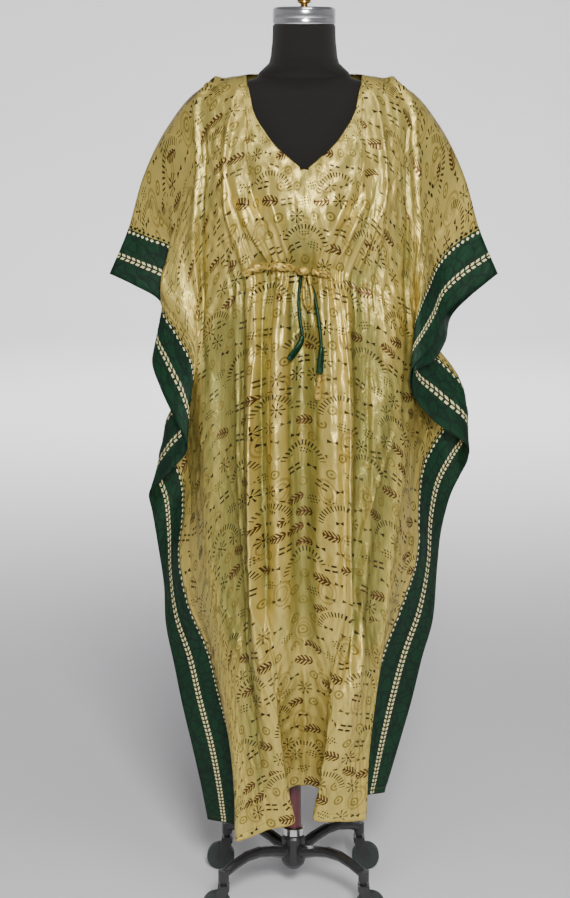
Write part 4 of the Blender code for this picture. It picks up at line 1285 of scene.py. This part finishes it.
# Its seams: half width, depth, where the princess lines lie as a share of the half width, how
# high they end, and the height and depth of the seam round the neck (m)
SEAM_HALF = 0.0022
SEAM_DEPTH = 0.0009
PRINCESS_SHARE = 0.42
PRINCESS_TOP = 1.44
NECK_SEAM_HEIGHT = 1.468
NECK_SEAM_DEPTH = 0.0014


def jersey_form():
    """The padded form in fine sections, with its sewn seams: centre front and back, the two
    princess lines, and the one round the base of the neck."""
    table = millimetres(FORM_SECTIONS)
    low, high = table[0, 0], table[-1, 0]
    heights = np.array(spaced(((low, 0.010), (PRINCESS_TOP, 0.003), (high, 0))))
    sizes = smooth_through(table[:, 0], table[:, 1:], heights)
    rings = []
    for z, (half_width, ahead, behind) in zip(heights, sizes):
        x, y = superellipse(half_width, ahead, behind, JERSEY_SEGMENTS, FORM_ROUNDNESS)
        inward = np.full(JERSEY_SEGMENTS, JERSEY_INSET)
        inward += SEAM_DEPTH * np.exp(-((np.abs(x) / SEAM_HALF) ** 2))
        from_princess = (np.abs(x) - PRINCESS_SHARE * half_width) / SEAM_HALF
        inward += SEAM_DEPTH * np.exp(-(from_princess**2)) * (z < PRINCESS_TOP)
        inward += NECK_SEAM_DEPTH * math.exp(-(((z - NECK_SEAM_HEIGHT) / SEAM_HALF) ** 2))
        length = np.hypot(x, y)
        share = 1 - inward / length
        rings.append([(a * k, b * k + SET_BACK, z) for a, b, k in zip(x, y, share)])
    body_of("jersey_form", rings, matte_jersey(), "form_body")


def turned_rings(y, profile, segments):
    """Rings of a turned shape about an upright axis."""
    turn = np.arange(segments) * (2 * math.pi / segments)
    return [[(r * math.cos(a), y + r * math.sin(a), z) for a in turn] for r, z in profile]


# Profiles of the pressed cap and of the turned knob: radius, height (m)
CAP_PROFILE = (
    (0.0500, 1.5304), (0.0518, 1.5310), (0.0526, 1.5322), (0.0530, 1.5340), (0.0530, 1.5400),
    (0.0527, 1.5405), (0.0527, 1.5412), (0.0530, 1.5417), (0.0530, 1.5520), (0.0526, 1.5550),
    (0.0515, 1.5575), (0.0500, 1.5590), (0.0480, 1.5600),
)
KNOB_PROFILE = (
    (0.0060, 1.5604), (0.0060, 1.5650), (0.0075, 1.5662), (0.0105, 1.5672), (0.0125, 1.5684),
    (0.0105, 1.5696), (0.0120, 1.5712), (0.0160, 1.5742), (0.0188, 1.5790), (0.0200, 1.5850),
    (0.0192, 1.5905), (0.0168, 1.5960), (0.0130, 1.6005), (0.0090, 1.6032), (0.0050, 1.6050),
)


def neck_top(chrome):
    """The cap on the form's neck and the knob on the cap."""
    cap = turned_rings(SET_BACK, CAP_PROFILE, segments=96)
    knob = turned_rings(SET_BACK, KNOB_PROFILE, segments=64)
    body_of("cap_shell", cap, chrome, "neck_cap")
    body_of("turned_knob", knob, turned_brass(), "cap_knob")


# The strings


def cloth_face():
    """Reads how far forward the solid front's face is over a small patch, seen from the front."""
    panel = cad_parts["front_panel"]
    points = [Vector((v.co.x, v.co.y - SET_BACK, v.co.z)) for v in panel.data.vertices]
    tree = BVHTree.FromPolygons(points, [list(f.vertices) for f in panel.data.polygons])

    def foremost(x, z, reach):
        hits = []
        for across in (-reach, 0.0, reach):
            for up in (-reach, 0.0, reach):
                place = tree.ray_cast(Vector((x + across, -1.0, z + up)), Vector((0, 1, 0)))[0]
                if place is not None:
                    hits.append(place.y)
        return min(hits)

    return foremost


def tie(name, route, material, node):
    """A rolled and stitched tie: a thin cord along its route."""
    line = bpy.data.curves.new(name, "CURVE")
    line.dimensions = "3D"
    spline = line.splines.new("POLY")
    spline.points.add(len(route) - 1)
    for point, place in zip(spline.points, route):
        point.co = (*place, 1.0)
    line.bevel_depth = TIE_RADIUS
    line.bevel_resolution = 3
    line.use_fill_caps = True
    line.materials.append(material)
    made = bpy.data.objects.new(name, line)
    bpy.context.scene.collection.objects.link(made)
    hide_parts(node)
    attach(made, "root")
    return made


# A twisted strip: sides of its section, and the share of its width that its ends keep
STRIP_SIDES = 20
BLUNT_END = 0.72

# The ties' folded ends: half width, half depth (m)
END_HALF_WIDTH = 0.0065
END_HALF_DEPTH = 0.0035

# The knot: half its width, depth and height (m)
KNOT_HALF = (0.0121, 0.0084, 0.0076)
KNOT_SIDES = 28


def twisted_strip(name, route, half_width, half_depth, turns, lobes, material, node):
    """A folded strip that twists along its route, its edges pinched in where it turns."""
    route = np.array(route)
    along = np.linspace(0, len(route) - 1, 6 * len(route))
    fine = smooth_through(np.arange(len(route)), route, along)
    rings = []
    for i, point in enumerate(fine):
        ahead = fine[min(i + 1, len(fine) - 1)] - fine[max(i - 1, 0)]
        ahead /= np.linalg.norm(ahead)
        aside = np.cross(ahead, (0, -1.0, 0))
        aside /= np.linalg.norm(aside)
        out = np.cross(aside, ahead)
        share = i / (len(fine) - 1)
        turn = 2 * math.pi * turns * share
        inside = min(1.0, 6 * share, 6 * (1 - share))
        end = BLUNT_END + (1 - BLUNT_END) * math.sin(math.pi * inside / 2)
        swell = end * (0.94 + 0.06 * math.cos(2 * turn))
        ring = []
        for k in range(STRIP_SIDES):
            a = k * 2 * math.pi / STRIP_SIDES
            fold = 1 - 0.34 * (1 + math.cos(lobes * (a + turn))) / 2
            section = half_width * math.cos(a) * aside + half_depth * math.sin(a) * out
            ring.append(point + swell * fold * section)
        rings.append(ring)
    return body_of(name, rings, material, node)


def moved_back(route):
    """A route where the frame has it."""
    return [(x, y + SET_BACK, z) for x, y, z in route]


def knot_rings():
    """The knot: a flattened ball, grooved where the strip winds round it."""
    low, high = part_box("knot")
    middle = [(a + b) / 2 for a, b in zip(low, high)]
    wide, deep, tall = KNOT_HALF
    rings = []
    for up in np.linspace(-0.97, 0.97, 15):
        size = math.sqrt(1 - up * up) ** 0.7
        ring = []
        for k in range(KNOT_SIDES):
            a = k * 2 * math.pi / KNOT_SIDES
            fold = 1 - 0.10 * (1 + math.cos(5 * a + 4 * up)) / 2
            x = middle[0] + wide * size * fold * math.cos(a)
            y = middle[1] + deep * size * fold * math.sin(a)
            ring.append((x, y, middle[2] + tall * up))
        rings.append(ring)
    return rings


def drawstring():
    """The string over the gathered waist, its knot, its bow loop and its two ties."""
    foremost = cloth_face()
    gold = plain_cloth("gold_satin_strip", "#8c7430", "#b89c48", "#2c1c0c")
    green = plain_cloth("green_satin_strip", "#011c0c", "#04371c", "#01130a")
    left = moved_back(laid_route(STRING_LEFT, foremost, STRING_HALF_DEPTH, reach=0.007))
    right = moved_back(laid_route(STRING_RIGHT, foremost, STRING_HALF_DEPTH, reach=0.006))
    twisted_strip(
        "twisted_band_left", left, STRING_HALF_WIDTH, STRING_HALF_DEPTH, turns=1.5, lobes=3,
        material=gold, node="drawstring_left",
    )
    twisted_strip(
        "twisted_band_right", right, STRING_HALF_WIDTH * 0.8, STRING_HALF_DEPTH, turns=1.0, lobes=3,
        material=gold, node="drawstring_right",
    )
    body_of("wound_knot", knot_rings(), gold, "knot")
    r = TIE_RADIUS
    for name, table, material, slot in (
        ("tie_end_left", END_LEFT, green, "green_cloth"),
        ("tie_end_right", END_RIGHT, green, "green_cloth"),
        ("tie_tip_right", END_TIP, gold, "gold_cloth"),
    ):
        route = moved_back(laid_route(table, foremost, END_HALF_DEPTH, reach=0.004))
        twisted_strip(
            "folded_" + name, route, END_HALF_WIDTH, END_HALF_DEPTH, turns=0.25, lobes=2,
            material=material, node=name,
        )
    left_route = moved_back(laid_route(TIE_LEFT, foremost, r, reach=0.001))
    right_route = moved_back(laid_route(TIE_RIGHT, foremost, r, reach=0.001))
    over_ties = 2 * r + 3 * ON_CLOTH
    loop_route = moved_back(laid_route(BOW_LOOP, foremost, r, reach=0.002, ahead=over_ties))
    left_tie = tie("rolled_tie_left", left_route, green, "tie_left")
    right_tie = tie("rolled_tie_right", right_route, green, "tie_right")
    loop = tie("rolled_bow_loop", loop_route, gold, "bow_loop")


def stand(chrome):
    """The stand's own nodes keep their shape and take their finish."""
    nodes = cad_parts
    maroon = stoved_paint("maroon_enamel", "#3f1518", "#5a2024", roughness=0.34)
    black = stoved_paint("black_enamel", "#141415", "#232324", roughness=0.42)
    rubber = tyre_rubber()
    for name, node in nodes.items():
        if name.startswith("pole"):
            finish = chrome if name == "pole_ring" else maroon
        elif name.startswith("wheel"):
            finish = rubber
        elif name.startswith(("leg", "fork", "hub")):
            finish = black
        else:
            continue
        node.data.materials.clear()
        node.data.materials.append(finish)


# The room: how far out the floor is flat, the radius it turns up on, how high it goes (m)
FLOOR_REACH = 8.2
FLOOR_BEND = 1.2
ROOM_TOP = 6.0
ROOM_SIDES = 72


def room():
    """A plain pale floor that turns up far off on every side, and soft studio light."""
    profile = [(0.02, 0.0), (4.0, 0.0), (FLOOR_REACH, 0.0)]
    for a in np.linspace(0.1, math.pi / 2, 12):
        out, up = math.sin(a), 1 - math.cos(a)
        profile.append((FLOOR_REACH + FLOOR_BEND * out, FLOOR_BEND * up))
    profile.append((FLOOR_REACH + FLOOR_BEND, ROOM_TOP))
    rings = turned_rings(0, profile, ROOM_SIDES)
    points = [place for ring in rings for place in ring]
    faces = []
    for low in range(0, ROOM_SIDES * (len(rings) - 1), ROOM_SIDES):
        for k in range(ROOM_SIDES):
            after = (k + 1) % ROOM_SIDES
            high = low + ROOM_SIDES
            faces.append((low + k, low + after, high + after, high + k))
    faces.append(tuple(range(ROOM_SIDES - 1, -1, -1)))
    data = bpy.data.meshes.new("pale_floor")
    data.from_pydata(points, [], faces)
    data.polygons.foreach_set("use_smooth", [True] * len(data.polygons))
    floor = bpy.data.objects.new("pale_floor", data)
    bpy.context.scene.collection.objects.link(floor)
    floor.data.materials.append(pale_paper())

    world = bpy.data.worlds.new("room_light")
    bpy.context.scene.world = world
    world.use_nodes = True
    sky = world.node_tree.nodes["Background"]
    sky.inputs["Color"].default_value = linear("#f2f3f6")
    sky.inputs["Strength"].default_value = 0.22
    # Each lamp's place, aim and side (m), power (W) and spread (degrees)
    for name, place, aim, size, power, spread in (
        ("window", (0.3, -3.9, 2.4), (0, 0, 1.0), 0.8, 218, 180),
        ("ceiling_lamp", (0.3, -0.9, 3.2), (0, 0, 0.9), 0.8, 14, 180),
        ("back_lamp", (-2.2, 4.4, 5.0), (-0.6, 6.4, 0.0), 2.5, 120, 100),
        ("other_back_lamp", (2.2, 4.4, 5.0), (0.6, 6.4, 0.0), 2.5, 120, 100),
    ):
        lamp = bpy.data.lights.new(name, "AREA")
        lamp.shape = "SQUARE"
        lamp.size = size
        lamp.energy = power
        lamp.spread = math.radians(spread)
        made = bpy.data.objects.new(name, lamp)
        made.location = place
        towards = Vector(aim) - Vector(place)
        made.rotation_euler = towards.to_track_quat("-Z", "Y").to_euler()
        bpy.context.scene.collection.objects.link(made)


camera()
drawstring()
kaftan()
jersey_form()
chrome = polished_chrome()
neck_top(chrome)
stand(chrome)
room()
